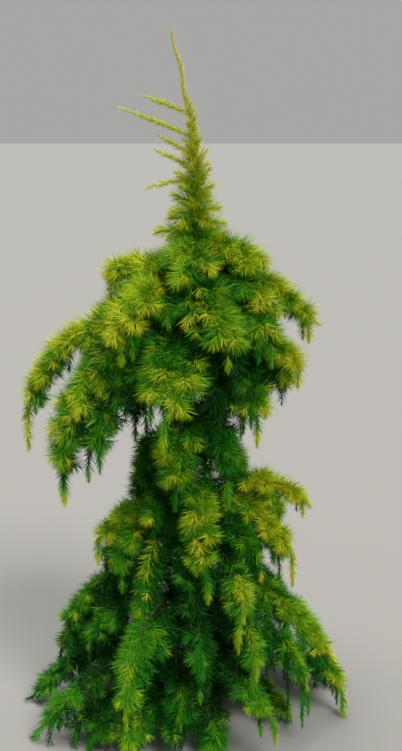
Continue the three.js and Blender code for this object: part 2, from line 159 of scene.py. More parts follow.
LIMBS = [
    # The dome, from the leader down to the waist
    LimbPlan("right_top", 1264, 338, 170, 22, 26, 80, 0.3, 0.84),
    LimbPlan("front_high", 1262, 266, 170, 34, 70, 88, 0.35, 0.78),
    LimbPlan("upper_left", 1178, 176, 214, 58, -20, 108, 0.4, 1.0),
    LimbPlan("right_high", 1172, 332, 205, 54, 55, 98, 0.45, 0.84),
    LimbPlan("upper_right", 1192, 354, 312, 32, 100, 62, 0.3, 0.95, 0.6),
    LimbPlan("back_high", 1236, 82, 215, 42, 60, 96, 0.4, 0.86),
    LimbPlan("front_upper", 1190, 277, 195, 34, 90, 92, 0.45, 0.8),
    LimbPlan("front_left_dome", 1146, 232, 270, 62, 75, 108, 0.45, 0.91),
    LimbPlan("right_front", 1140, 292, 222, 48, 75, 100, 0.5, 0.81),
    LimbPlan("right_shoulder", 1118, 326, 232, 42, 45, 98, 0.45, 0.84),
    LimbPlan("left_shoulder", 1072, 204, 352, 48, 374, 112, 0.55, 1.06, 0.94),
    LimbPlan("left_fall", 1018, 213, 300, 34, 246, 92, 0.6, 0.9, 0.82),
    LimbPlan("back_right", 1100, 40, 262, 45, 160, 104, 0.5, 0.74),
    LimbPlan("back_left", 1130, 138, 310, 45, 180, 104, 0.5, 0.72),
    LimbPlan("far_left", 1058, 184, 430, 70, 212, 66, 0.36, 1.12, 0.78),
    LimbPlan("front_fall", 1045, 252, 275, 44, 95, 92, 0.5, 0.86),
    LimbPlan("back_middle", 1010, 95, 335, 40, 200, 104, 0.55, 0.72),
    LimbPlan("right_outer", 1008, 348, 284, 50, 24, 104, 0.42, 1.26),
    LimbPlan("front_low", 985, 262, 312, 48, 62, 104, 0.36, 0.72),
    LimbPlan("right_fall", 980, 322, 208, 34, 104, 94, 0.5, 1.14),
    LimbPlan("waist_fall", 862, 308, 164, 20, 138, 62, 0.5, 0.78),
    LimbPlan("front_waist", 842, 262, 178, 22, 150, 80, 0.5, 0.74),
    # The skirt, from the waist down to the ground
    LimbPlan("front_column", 742, 279, 232, 28, 270, 58, 0.5, 0.98),
    LimbPlan("waist_left", 738, 170, 140, 24, 150, 66, 0.6, 0.64),
    LimbPlan("right_wide", 640, 351, 318, 32, 36, 80, 0.28, 1.12),
    LimbPlan("left_wide", 606, 200, 258, 12, 92, 66, 0.4, 0.77, 0.76),
    LimbPlan("right_second", 620, 337, 294, 28, 132, 60, 0.5, 1.1, 0.7),
    LimbPlan("back_waist", 600, 92, 225, 28, 150, 96, 0.6, 0.46),
    LimbPlan("front_shade", 590, 266, 205, 24, 150, 76, 0.6, 0.6),
    LimbPlan("left_curtain", 560, 240, 245, 24, 220, 70, 0.85, 0.66),
    LimbPlan("back_lower_right", 520, 40, 335, 32, 180, 102, 0.6, 0.68),
    LimbPlan("front_right_fall", 500, 298, 288, 28, 120, 64, 0.9, 0.77),
    LimbPlan("back_lower_left", 480, 140, 330, 32, 180, 102, 0.6, 0.6),
    LimbPlan("left_middle", 400, 187, 342, 30, 170, 76, 0.9, 0.51, 0.9),
    LimbPlan("right_sweep", 372, 350, 428, 36, 330, 78, 0.7, 0.85, 0.77),
    LimbPlan("front_right_middle", 390, 300, 330, 24, 150, 66, 0.9, 0.62),
    LimbPlan("front_dome", 350, 248, 412, 48, 190, 80, 0.75, 0.57),
    LimbPlan("front_inner", 325, 276, 300, 34, 75, 64, 0.8, 0.38),
    LimbPlan("right_inner", 290, 326, 362, 28, 130, 66, 0.9, 0.5),
    LimbPlan("back_skirt_right", 262, 24, 420, 24, 225, 104, 0.4, 0.56),
    LimbPlan("back_skirt_left", 250, 150, 385, 24, 220, 104, 0.4, 0.48),
    LimbPlan("front_right_low", 240, 303, 372, 24, 112, 66, 0.7, 0.58),
    LimbPlan("left_low", 200, 181, 462, 14, 210, 76, 0.55, 0.42, 0.76),
    LimbPlan("back_skirt_middle", 230, 88, 430, 24, 200, 104, 0.4, 0.56),
    LimbPlan("left_lowest", 190, 207, 462, 20, 172, 76, 0.55, 0.42, 0.76),
    LimbPlan("front_skirt", 148, 262, 300, 20, 112, 70, 0.5, 0.46),
]


# Limbs that only fill out the foliage: near the trunk, at the back, under the dome and by the ground. Those
# given little light come out in the darkest tint, painted shade in the hollows of the crown
INNER_LIMBS = [
    LimbPlan("dome_fill_left", 1168, 196, 165, 26, 40, 92, 0.4, 0.7),
    LimbPlan("dome_fill_right", 1062, 300, 190, 24, 60, 96, 0.5, 0.46),
    LimbPlan("dome_fill_front", 1085, 262, 190, 26, 50, 96, 0.45, 0.66),
    LimbPlan("dome_fill_low", 985, 300, 170, 18, 90, 88, 0.5, 0.62),
    LimbPlan("dome_fill_back", 1040, 60, 190, 20, 90, 92, 0.5, 0.46),
    LimbPlan("left_fill", 1035, 208, 240, 26, 90, 92, 0.5, 0.62),
    LimbPlan("waist_fill", 800, 250, 130, 14, 120, 74, 0.5, 0.54),
    LimbPlan("right_fill", 560, 320, 220, 22, 60, 88, 0.5, 0.6),
    LimbPlan("skirt_fill_left", 330, 205, 300, 24, 90, 96, 0.45, 0.39),
    LimbPlan("skirt_fill_right", 330, 320, 270, 24, 80, 92, 0.45, 0.3),
    LimbPlan("back_dome_right", 1204, 48, 200, 38, 50, 92, 0.4, 0.88),
    LimbPlan("back_dome_left", 1178, 122, 240, 42, 80, 96, 0.45, 0.88),
    LimbPlan("back_dome_middle", 1122, 76, 262, 42, 110, 98, 0.5, 0.8),
    LimbPlan("back_dome_side", 1034, 18, 262, 38, 140, 98, 0.5, 0.8),
    LimbPlan("back_dome_low", 1056, 114, 290, 38, 160, 98, 0.5, 0.82),
    LimbPlan("back_dome_far", 1040, 158, 310, 42, 190, 98, 0.5, 0.82),
    LimbPlan("back_fall_right", 958, 52, 240, 30, 170, 94, 0.55, 0.76),
    LimbPlan("back_fall_left", 930, 132, 230, 28, 150, 92, 0.55, 0.72),
    LimbPlan("back_waist_high", 842, 84, 160, 18, 130, 78, 0.5, 0.68),
    LimbPlan("back_waist_right", 800, 22, 132, 18, 120, 62, 0.5, 0.66),
    LimbPlan("back_waist_left", 772, 146, 156, 18, 130, 64, 0.5, 0.64),
    LimbPlan("back_tier_right", 718, 54, 222, 26, 120, 90, 0.5, 0.74),
    LimbPlan("back_tier_left", 700, 120, 232, 26, 130, 90, 0.5, 0.7),
    LimbPlan("back_tier_side", 604, 28, 286, 30, 130, 84, 0.5, 0.7),
    LimbPlan("back_tier_far", 572, 152, 232, 28, 130, 84, 0.5, 0.66),
    LimbPlan("back_middle_fill", 542, 90, 318, 30, 150, 98, 0.5, 0.72),
    LimbPlan("back_low_right", 440, 62, 350, 28, 170, 100, 0.5, 0.7),
    LimbPlan("back_low_left", 420, 114, 352, 28, 170, 100, 0.5, 0.66),
    LimbPlan("back_sweep_right", 332, 44, 392, 26, 200, 100, 0.45, 0.66),
    LimbPlan("back_sweep_left", 322, 130, 385, 26, 200, 100, 0.45, 0.62),
    LimbPlan("back_sweep_far", 300, 168, 385, 24, 200, 100, 0.45, 0.6),
    LimbPlan("back_ground_right", 168, 62, 402, 18, 150, 96, 0.4, 0.6),
    LimbPlan("back_ground_middle", 132, 108, 392, 16, 116, 94, 0.35, 0.56),
    LimbPlan("back_ground_side", 152, 8, 382, 16, 132, 94, 0.4, 0.58),
    LimbPlan("back_ground_left", 148, 162, 388, 16, 128, 94, 0.4, 0.56),
    LimbPlan("right_ground", 112, 338, 286, 12, 100, 66, 0.3, 0.54),
    LimbPlan("right_third", 596, 320, 236, 22, 118, 58, 0.5, 1.0, 0.7),
    LimbPlan("right_gap_fill", 505, 342, 170, 20, 80, 80, 0.5, 0.44),
    LimbPlan("left_ground", 112, 216, 384, 10, 96, 88, 0.3, 0.5),
    LimbPlan("front_fill", 205, 264, 285, 16, 110, 92, 0.5, 0.28),
    LimbPlan("left_arm_curtain", 600, 214, 226, 16, 140, 74, 0.7, 0.8),
    LimbPlan("left_gap_fill", 505, 214, 205, 20, 110, 76, 0.6, 0.76),
    LimbPlan("waist_fill_right", 905, 6, 84, 12, 90, 54, 0.5, 0.58),
    LimbPlan("waist_fill_low", 826, 350, 80, 12, 96, 54, 0.5, 0.5),
    LimbPlan("front_low_fill", 335, 254, 190, 12, 50, 84, 0.5, 0.25),
    LimbPlan("back_low_fill", 335, 78, 200, 12, 50, 84, 0.5, 0.3),
    LimbPlan("side_gap_fill", 470, 10, 200, 22, 110, 90, 0.5, 0.5),
    LimbPlan("left_waist_fill", 640, 215, 150, 16, 70, 70, 0.6, 0.86),
    LimbPlan("waist_shade_fill", 672, 242, 165, 18, 90, 80, 0.6, 0.74),
    LimbPlan("left_arm_fill", 560, 204, 190, 18, 90, 84, 0.6, 0.8),
    LimbPlan("front_shade_fill", 470, 270, 210, 18, 110, 84, 0.6, 0.3),
    LimbPlan("front_ground_left", 100, 238, 334, 10, 86, 84, 0.45, 0.54),
    LimbPlan("front_ground_right", 120, 284, 322, 12, 106, 84, 0.45, 0.5),
    LimbPlan("right_lobe_fill", 1002, 338, 205, 26, 84, 84, 0.5, 1.1),
    LimbPlan("left_ground_fill", 104, 224, 372, 10, 92, 84, 0.4, 0.5),
    LimbPlan("back_top_fill", 1238, 112, 150, 20, 34, 84, 0.35, 0.84),
    LimbPlan("back_top_side", 1226, 164, 140, 18, 34, 80, 0.35, 0.84),
    LimbPlan("left_hollow_fill", 1012, 226, 232, 20, 80, 80, 0.5, 0.66),
]


@dataclass(frozen=True)
class Whip:
    """A long bare shoot on the leader, in millimetres and degrees."""

    height: float
    bearing: float
    length: float
    rise: float
    sag: float


WHIPS = [
    Whip(1602, 180, 128, 24, 0.04),
    Whip(1548, 184, 196, 24, 0.05),
    Whip(1503, 175, 104, 32, 0.05),
    Whip(1468, 190, 120, 32, 0.1),
    Whip(1442, 181, 130, 4, 0.2),
]


def chance(*keys: int) -> float:
    """A repeatable number from 0 to 1 for a few whole numbers, the same as in the source of the solids.

    Args:
        *keys: The whole numbers that stand for the choice.

    Returns:
        The number.
    """
    # Factors and shifts that mix the bits well, started from the golden ratio
    mask = 0xFFFFFFFF
    mixed = 0x9E3779B9
    for key in keys:
        mixed = ((mixed ^ key) * 0x85EBCA6B) & mask
        mixed ^= mixed >> 13
        mixed = (mixed * 0xC2B2AE35) & mask
        mixed ^= mixed >> 16
    return mixed / 2**32


def outward(bearing: float) -> Vector:
    """The level direction of a bearing in degrees."""
    return Vector((math.cos(math.radians(bearing)), math.sin(math.radians(bearing)), 0.0))


def mix(low: float, high: float, share: float) -> float:
    """The value at a share of the way from low to high."""
    return low + (high - low) * share


def smoothstep(value: float, low: float, high: float) -> float:
    """A smooth share, from 0 at low to 1 at high."""
    share = min(1.0, max(0.0, (value - low) / (high - low)))
    return share * share * (3.0 - 2.0 * share)


def handedness(number: int) -> float:
    """The side on which an odd or an even shoot stands: 1 or -1."""
    return 1.0 if number % 2 else -1.0


def linear_part(part: str) -> float:
    """One part of an sRGB colour, as two hex digits, turned linear."""
    value = int(part, 16) / 255.0
    return value / 12.92 if value <= 0.04045 else ((value + 0.055) / 1.055) ** 2.4


def linear_colour(hex_colour: str) -> tuple[float, float, float, float]:
    """Turn an sRGB hex colour into Blender's linear colour.

    Args:
        hex_colour: The colour as "#rrggbb".

    Returns:
        Linear red, green and blue, and an alpha of 1.
    """
    red, green, blue = (linear_part(hex_colour[at : at + 2]) for at in (1, 3, 5))
    return red, green, blue, 1.0


def add_node(
    tree: bpy.types.NodeTree,
    kind: str,
    settings: dict[str, object] | None = None,
    inputs: dict[int | str, object] | None = None,
) -> bpy.types.Node:
    """Add a node with its settings and links.

    Args:
        tree: The node tree that gets the node.
        kind: The node's type name.
        settings: Values for the node's own properties.
        inputs: For each input, by name or number, a value or the output socket that feeds it.

    Returns:
        The node.
    """
    node = tree.nodes.new(kind)
    for name, value in (settings or {}).items():
        setattr(node, name, value)
    for key, value in (inputs or {}).items():
        if isinstance(value, bpy.types.NodeSocket):
            tree.links.new(value, node.inputs[key])
        else:
            node.inputs[key].default_value = value
    return node


def start_skin(name: str, roughness: float, ior: float) -> tuple[bpy.types.Material, bpy.types.Node]:
    """Start a material with what every finish here sets.

    Args:
        name: What the material is.
        roughness: Its roughness.
        ior: Its index of refraction.

    Returns:
        The material and its shader.
    """
    made = bpy.data.materials.new(name)
    made.use_nodes = True
    shader = made.node_tree.nodes["Principled BSDF"]
    shader.inputs["Roughness"].default_value = roughness
    shader.inputs["IOR"].default_value = ior
    return made, shader


@dataclass(frozen=True)
class NeedleFinish:
    """A living cedar needle: a firm, waxy four-sided leaf, so it is silky rather than glossy."""

    tint: Tint
    colour: str
    roughness: float = 0.6
    ior: float = 1.4
    # A thin bloom of wax throws back less light than a hard gloss
    glance: float = 0.3

    def material(self) -> bpy.types.Material:
        """Make the material: one plain colour, because tints are dealt out by spray.

        Returns:
            The material.
        """
        made, shader = start_skin(f"waxy needle {self.tint.name.lower()}", self.roughness, self.ior)
        shader.inputs["Base Color"].default_value = linear_colour(self.colour)
        shader.inputs["Specular IOR Level"].default_value = self.glance
        return made


# Needles are golden in full light and green in less, as the cultivar's are, and darker still where they get
# little light: the deep tint is painted shade on the needles deep in the crown
NEEDLE_FINISHES = [
    NeedleFinish(Tint.DEEP, "#0c5005"),
    NeedleFinish(Tint.GREEN, "#258508"),
    NeedleFinish(Tint.LIME, "#55a00f"),
    NeedleFinish(Tint.GOLD, "#97be0f"),
    NeedleFinish(Tint.BRIGHT, "#c8d020"),
    NeedleFinish(Tint.PALE, "#d8da60"),
]


@dataclass(frozen=True)
class BarkFinish:
    """Young cedar bark: matt grey-brown, finely furrowed along the stem, with paler ridges.

    Towards the leader it gives way to the smooth, pale buff of a stem in its first year.
    """

    # The browns are the bark's own, darkened further as painted shade, so that boughs inside the crown look
    # shaded
    furrow: str = "#2c241c"
    ridge: str = "#574b3d"
    young: str = "#b7ab6a"
    # Real furrows are some 2 mm apart and the grain is finer still, so both are drawn coarser to show
    furrow_spacing: float = 4.0 * MM
    furrow_detail: float = 4.0
    # Furrows run along the stem, so their pattern is this much coarser upwards
    drawn_out: float = 0.22
    # Where the furrows' colour ends and that of the ridges begins, as shares of the pattern's depth
    furrow_to: float = 0.38
    ridge_from: float = 0.62
    grain: float = 1.2 * MM
    grain_detail: float = 2.0
    young_from: float = 1.05
    young_to: float = 1.35
    roughness: float = 0.85
    ior: float = 1.5
    relief: float = 0.6 * MM
    relief_strength: float = 0.6

    def material(self) -> bpy.types.Material:
        """Make the material, with its furrows drawn out along the stem.

        Returns:
            The material.
        """
        made, shader = start_skin("cedar bark", self.roughness, self.ior)
        tree = made.node_tree
        place = add_node(tree, "ShaderNodeTexCoord").outputs["Object"]
        stretched = add_node(
            tree,
            "ShaderNodeMapping",
            inputs={"Vector": place, "Scale": (1.0, 1.0, self.drawn_out)},
        )
        furrows = add_node(
            tree,
            "ShaderNodeTexNoise",
            inputs={
                "Vector": stretched.outputs[0],
                "Scale": 1.0 / self.furrow_spacing,
                "Detail": self.furrow_detail,
            },
        )
        grains = add_node(
            tree,
            "ShaderNodeTexNoise",
            inputs={"Vector": place, "Scale": 1.0 / self.grain, "Detail": self.grain_detail},
        )
        old = add_node(tree, "ShaderNodeValToRGB", inputs={0: furrows.outputs[0]})
        stops = ((self.furrow_to, self.furrow), (self.ridge_from, self.ridge))
        for stop, (position, tone) in zip(old.color_ramp.elements, stops):
            stop.position = position
            stop.color = linear_colour(tone)
        height = add_node(tree, "ShaderNodeSeparateXYZ", inputs={0: place})
        youth = add_node(
            tree,
            "ShaderNodeMapRange",
            inputs={"Value": height.outputs["Z"], "From Min": self.young_from, "From Max": self.young_to},
        )
        colour = add_node(
            tree,
            "ShaderNodeMix",
            {"data_type": "RGBA"},
            {0: youth.outputs[0], 6: old.outputs[0], 7: linear_colour(self.young)},
        )
        bump = add_node(
            tree,
            "ShaderNodeBump",
            inputs={"Height": grains.outputs[0], "Distance": self.relief, "Strength": self.relief_strength},
        )
        tree.links.new(colour.outputs[2], shader.inputs["Base Color"])
        tree.links.new(bump.outputs[0], shader.inputs["Normal"])
        return made


@dataclass(frozen=True)
class TwigFinish:
    """The skin of a twig: dull and slightly downy, brown when old and greenish buff when young."""

    name: str
    colour: str
    roughness: float = 0.7
    ior: float = 1.45

    def material(self) -> bpy.types.Material:
        """Make the material: one plain colour, as the joined twigs are too fine for a pattern.

        Returns:
            The material.
        """
        made, shader = start_skin(self.name, self.roughness, self.ior)
        shader.inputs["Base Color"].default_value = linear_colour(self.colour)
        return made


OLD_TWIG = TwigFinish("dull brown twig skin", "#4c4429")
YOUNG_SHOOT = TwigFinish("downy young shoot", "#9aa23c")


@dataclass(frozen=True)
class FloorFinish:
    """A painted studio floor: pale and matt, so that it takes a soft shadow and shows no glare."""

    colour: str = "#94928d"
    roughness: float = 0.9
    ior: float = 1.45

    def material(self) -> bpy.types.Material:
        """Make the material: one plain colour.

        Returns:
            The material.
        """
        made, shader = start_skin("pale studio floor", self.roughness, self.ior)
        shader.inputs["Base Color"].default_value = linear_colour(self.colour)
        return made


@dataclass
class Frame:
    """A place on a path, with the directions along it, to its side and up from it."""

    point: Vector
    along: Vector
    side: Vector
    up: Vector


@dataclass
class Path:
    """A curve measured by its length, that rests on the ground where it comes down to it.

    Its sideways direction is steady, so that what grows along it doesn't spin round it. It follows from the
    heading, which only a path that carries shoots needs.
    """

    curve: Callable[[float], Vector]
    heading: Vector = field(default_factory=lambda: Vector((1.0, 0.0, 0.0)))
    divisions: int = 120
    ground_rest: float = 11.0 * MM
    # How far before and behind a place its direction is measured, as a share of the length
    probe: float = 0.02
    stops: list[float] = field(init=False)
    steady_side: Vector = field(init=False)

    def __post_init__(self) -> None:
        """Measure the curve once."""
        points = [self.curve(i / self.divisions) for i in range(self.divisions + 1)]
        self.stops = [0.0]
        for before, after in zip(points, points[1:]):
            self.stops.append(self.stops[-1] + (after - before).length)
        self.steady_side = self.heading.cross(UP).normalized()

    @property
    def length(self) -> float:
        """The curve's length."""
        return self.stops[-1]

    def point(self, share: float) -> Vector:
        """Find a place on the path, kept on or above the ground.

        Args:
            share: The share of the length at which it lies.

        Returns:
            The place.
        """
        target = min(1.0, max(0.0, share)) * self.length
        low, high = 0, self.divisions
        while high - low > 1:
            middle = (low + high) // 2
            low, high = (middle, high) if self.stops[middle] <= target else (low, middle)
        part = (target - self.stops[low]) / max(1e-9, self.stops[high] - self.stops[low])
        place = self.curve((low + part) / self.divisions)
        if place.z < 2 * self.ground_rest:
            # From twice the resting height the path eases down to it and stays there
            z = max(0.0, place.z)
            place.z = self.ground_rest + z * z / (4 * self.ground_rest)
        return place

    def points(self, low: float, high: float, steps: int) -> list[Vector]:
        """Places at even steps from one share of the length to another."""
        return [self.point(mix(low, high, i / steps)) for i in range(steps + 1)]

    def frame(self, share: float) -> Frame:
        """Find a place on the path and its directions.

        Args:
            share: The share of the length at which it lies.

        Returns:
            The place with its directions.
        """
        along = (self.point(share + self.probe) - self.point(share - self.probe)).normalized()
        side = (self.steady_side - along * self.steady_side.dot(along)).normalized()
        return Frame(self.point(share), along, side, side.cross(along))


def bezier(places: list[Vector]) -> Callable[[float], Vector]:
    """Make a Bezier curve from its control places.

    Args:
        places: Three or four control places.

    Returns:
        A function from 0 to 1 that gives the place on the curve.
    """

    def at(share: float) -> Vector:
        """Find a place on the curve by drawing the control places together.

        Args:
            share: How far along the curve it is, from 0 to 1.

        Returns:
            The place.
        """
        level = places
        while len(level) > 1:
            level = [before.lerp(after, share) for before, after in zip(level, level[1:])]
        return level[0].copy()

    return at


@dataclass
class Shoot:
    """A stem from root to tip, with what clothes it.

    light sets its tint, less what the foliage round it takes away if it is shaded. The needles are needle
    long, and stand out by the angles at its root and its tip.
    """

    points: list[Vector]
    root_radius: float
    tip_radius: float
    light: float
    needle: float
    root_angle: float = 68.0
    tip_angle: float = 18.0
    shaded: bool = True

    @property
    def length(self) -> float:
        """The stem's length."""
        return sum((after - before).length for before, after in zip(self.points, self.points[1:]))


@dataclass
class Canopy:
    """The foliage of the whole tree on a coarse grid, which tells how much daylight reaches a place."""

    # The size of the grid's cells, and the steps in which it is looked through from a place
    cell: float = 24 * MM
    step: float = 26 * MM
    steps: int = 6
    # How strongly clothed stem that is in the way dims the sky, by its length
    shade_by_stem: float = 0.018 / MM
    # How much of upwards there is in the lowest direction that is looked in
    low_sky: float = 0.3
    full: Counter[tuple[int, int, int]] = field(default_factory=Counter)

    def key(self, place: Vector) -> tuple[int, int, int]:
        """The grid cell of a place."""
        return (
            math.floor(place.x / self.cell),
            math.floor(place.y / self.cell),
            math.floor(place.z / self.cell),
        )

    def fill(self, shoots: Iterable[Shoot]) -> None:
        """Note how much clothed stem lies in each cell.

        Args:
            shoots: All the shoots of the tree.
        """
        for shoot in shoots:
            for before, after in zip(shoot.points, shoot.points[1:]):
                self.full[self.key(before.lerp(after, 0.5))] += (after - before).length

    def daylight(self, place: Vector) -> float:
        """Find how much of the sky shows from a place.

        Args:
            place: The place, in or round the crown.

        Returns:
            The share of the sky, from 0 deep inside to 1 in the open.
        """
        outwards = Vector((place.x, place.y, 0.0)).normalized()
        sides = outwards.cross(UP)
        total = 0.0
        ways = (UP, UP + outwards, UP + sides, UP - sides, outwards + self.low_sky * UP)
        for way in ways:
            stride = way.normalized() * self.step
            stem = sum(self.full[self.key(place + stride * i)] for i in range(1, self.steps + 1))
            total += math.exp(-self.shade_by_stem * stem)
        return total / len(ways)


class StemMesh:
    """Gathers stems as strings of edges, with what the node trees read from each point."""

    def __init__(self) -> None:
        """Start with no stems."""
        self.places: list[Vector] = []
        self.edges: list[tuple[int, int]] = []
        self.values: dict[str, list[float]] = {"thickness": [], "needle": [], "angle": []}

    def add(self, points: list[Vector], **values: list[float]) -> None:
        """Add one stem.

        Args:
            points: Its places, from root to tip.
            **values: For each value that is gathered, its size at each place.
        """
        first = len(self.places)
        self.places.extend(points)
        self.edges.extend((first + i, first + i + 1) for i in range(len(points) - 1))
        for name, kept in self.values.items():
            kept.extend(values.get(name, [0.0] * len(points)))

    def build(self, name: str) -> bpy.types.Object:
        """Make the object that a node tree then turns into stems or needles.

        Args:
            name: The piece's name.

        Returns:
            The object, with the stems as edges and the gathered values as attributes.
        """
        mesh = bpy.data.meshes.new(name)
        mesh.from_pydata([tuple(place) for place in self.places], self.edges, [])
        for value, kept in self.values.items():
            mesh.attributes.new(value, "FLOAT", "POINT").data.foreach_set("value", kept)
        made = bpy.data.objects.new(name, mesh)
        bpy.context.scene.collection.objects.link(made)
        return made


class GrowthTree:
    """A Geometry Nodes tree with named inputs, run on an object and then applied."""

    def __init__(self, name: str, sockets: dict[str, str]) -> None:
        """Start the tree.

        Args:
            name: The tree's name.
            sockets: The name and type of each input after the geometry.
        """
        self.tree = bpy.data.node_groups.new(name, "GeometryNodeTree")
        face = self.tree.interface
        face.new_socket("Geometry", in_out="INPUT", socket_type="NodeSocketGeometry")
        self.keys = {
            label: face.new_socket(label, in_out="INPUT", socket_type=kind).identifier
            for label, kind in sockets.items()
        }
        face.new_socket("Geometry", in_out="OUTPUT", socket_type="NodeSocketGeometry")
        self.start = self.node("NodeGroupInput")

    def node(
        self,
        kind: str,
        settings: dict[str, object] | None = None,
        inputs: dict[int | str, object] | None = None,
    ) -> bpy.types.Node:
        """Add a node to the tree."""
        return add_node(self.tree, kind, settings, inputs)

    def finish(self, geometry: bpy.types.NodeSocket, shaded: str | None = None) -> None:
        """End the tree: make instances real and give the result its material.

        Args:
            geometry: What has grown.
            shaded: The attribute of the faces that get the shaded material, if there are such.
        """
        real = self.node("GeometryNodeRealizeInstances", inputs={0: geometry})
        dressed = self.node(
            "GeometryNodeSetMaterial",
            inputs={"Geometry": real.outputs[0], "Material": self.start.outputs["Material"]},
        )
        if shaded:
            chosen = self.node("GeometryNodeInputNamedAttribute", {"data_type": "BOOLEAN"}, {"Name": shaded})
            dressed = self.node(
                "GeometryNodeSetMaterial",
                inputs={
                    "Geometry": dressed.outputs[0],
                    "Selection": chosen.outputs[0],
                    "Material": self.start.outputs["Shaded Material"],
                },
            )
            dressed = self.node(
                "GeometryNodeRemoveAttribute", inputs={"Geometry": dressed.outputs[0], "Name": shaded}
            )
        self.node("NodeGroupOutput", inputs={0: dressed.outputs[0]})

    def grow(self, made: bpy.types.Object, values: dict[str, object]) -> bpy.types.Object:
        """Run the tree on an object and keep the plain mesh that comes out.

        Args:
            made: The object with the stems.
            values: A value for each named input.

        Returns:
            The same object, with its new mesh and no modifier.
        """
        modifier = made.modifiers.new("growth", "NODES")
        modifier.node_group = self.tree
        for label, value in values.items():
            modifier[self.keys[label]] = value
        evaluated = made.evaluated_get(bpy.context.evaluated_depsgraph_get())
        grown = bpy.data.meshes.new_from_object(evaluated)
        grown.name = made.name
        stems = made.data
        made.modifiers.remove(modifier)
        made.data = grown
        bpy.data.meshes.remove(stems)
        return made


def stem_tree() -> GrowthTree:
    """Make the tree of nodes that sweeps a round section along every stem.

    Returns:
        The tree.
    """
    growth = GrowthTree("round stems", {"Sides": "NodeSocketInt", "Material": "NodeSocketMaterial"})
    curves = growth.node("GeometryNodeMeshToCurve", inputs={0: growth.start.outputs["Geometry"]})
    section = growth.node(
        "GeometryNodeCurvePrimitiveCircle",
        inputs={"Resolution": growth.start.outputs["Sides"], "Radius": 1.0},
    )
    thickness = growth.node(
        "GeometryNodeInputNamedAttribute", {"data_type": "FLOAT"}, {"Name": "thickness"}
    )
    swept = growth.node(
        "GeometryNodeCurveToMesh",
        inputs={
            "Curve": curves.outputs[0],
            "Profile Curve": section.outputs[0],
            "Scale": thickness.outputs[0],
            "Fill Caps": True,
        },
    )
    growth.finish(swept.outputs[0])
    return growth


class Scatter(Enum):
    """What differs at random among needles: its seed, its least and its greatest value, and who shares it.

    Turns and leans are in radians, and the length is a share of what the stem gives. Some are shared by the
    needles of a bundle, which is what makes tufts.
    """

    BUNDLE_TURN = (1, -0.5, 0.5, True)
    BUNDLE_LEAN = (2, -0.26, 0.26, True)
    LENGTH = (3, 0.78, 1.08, False)
    NEEDLE_TURN = (4, -0.1, 0.1, False)
    NEEDLE_LEAN = (5, -0.06, 0.06, False)

    def __init__(self, seed: int, low: float, high: float, by_bundle: bool) -> None:
        """Name the parts of a scatter.

        Args:
            seed: The fixed seed of its random values.
            low: The least value.
            high: The greatest value.
            by_bundle: Whether all the needles of a bundle share a value.
        """
        self.seed = seed
        self.low = low
        self.high = high
        self.by_bundle = by_bundle


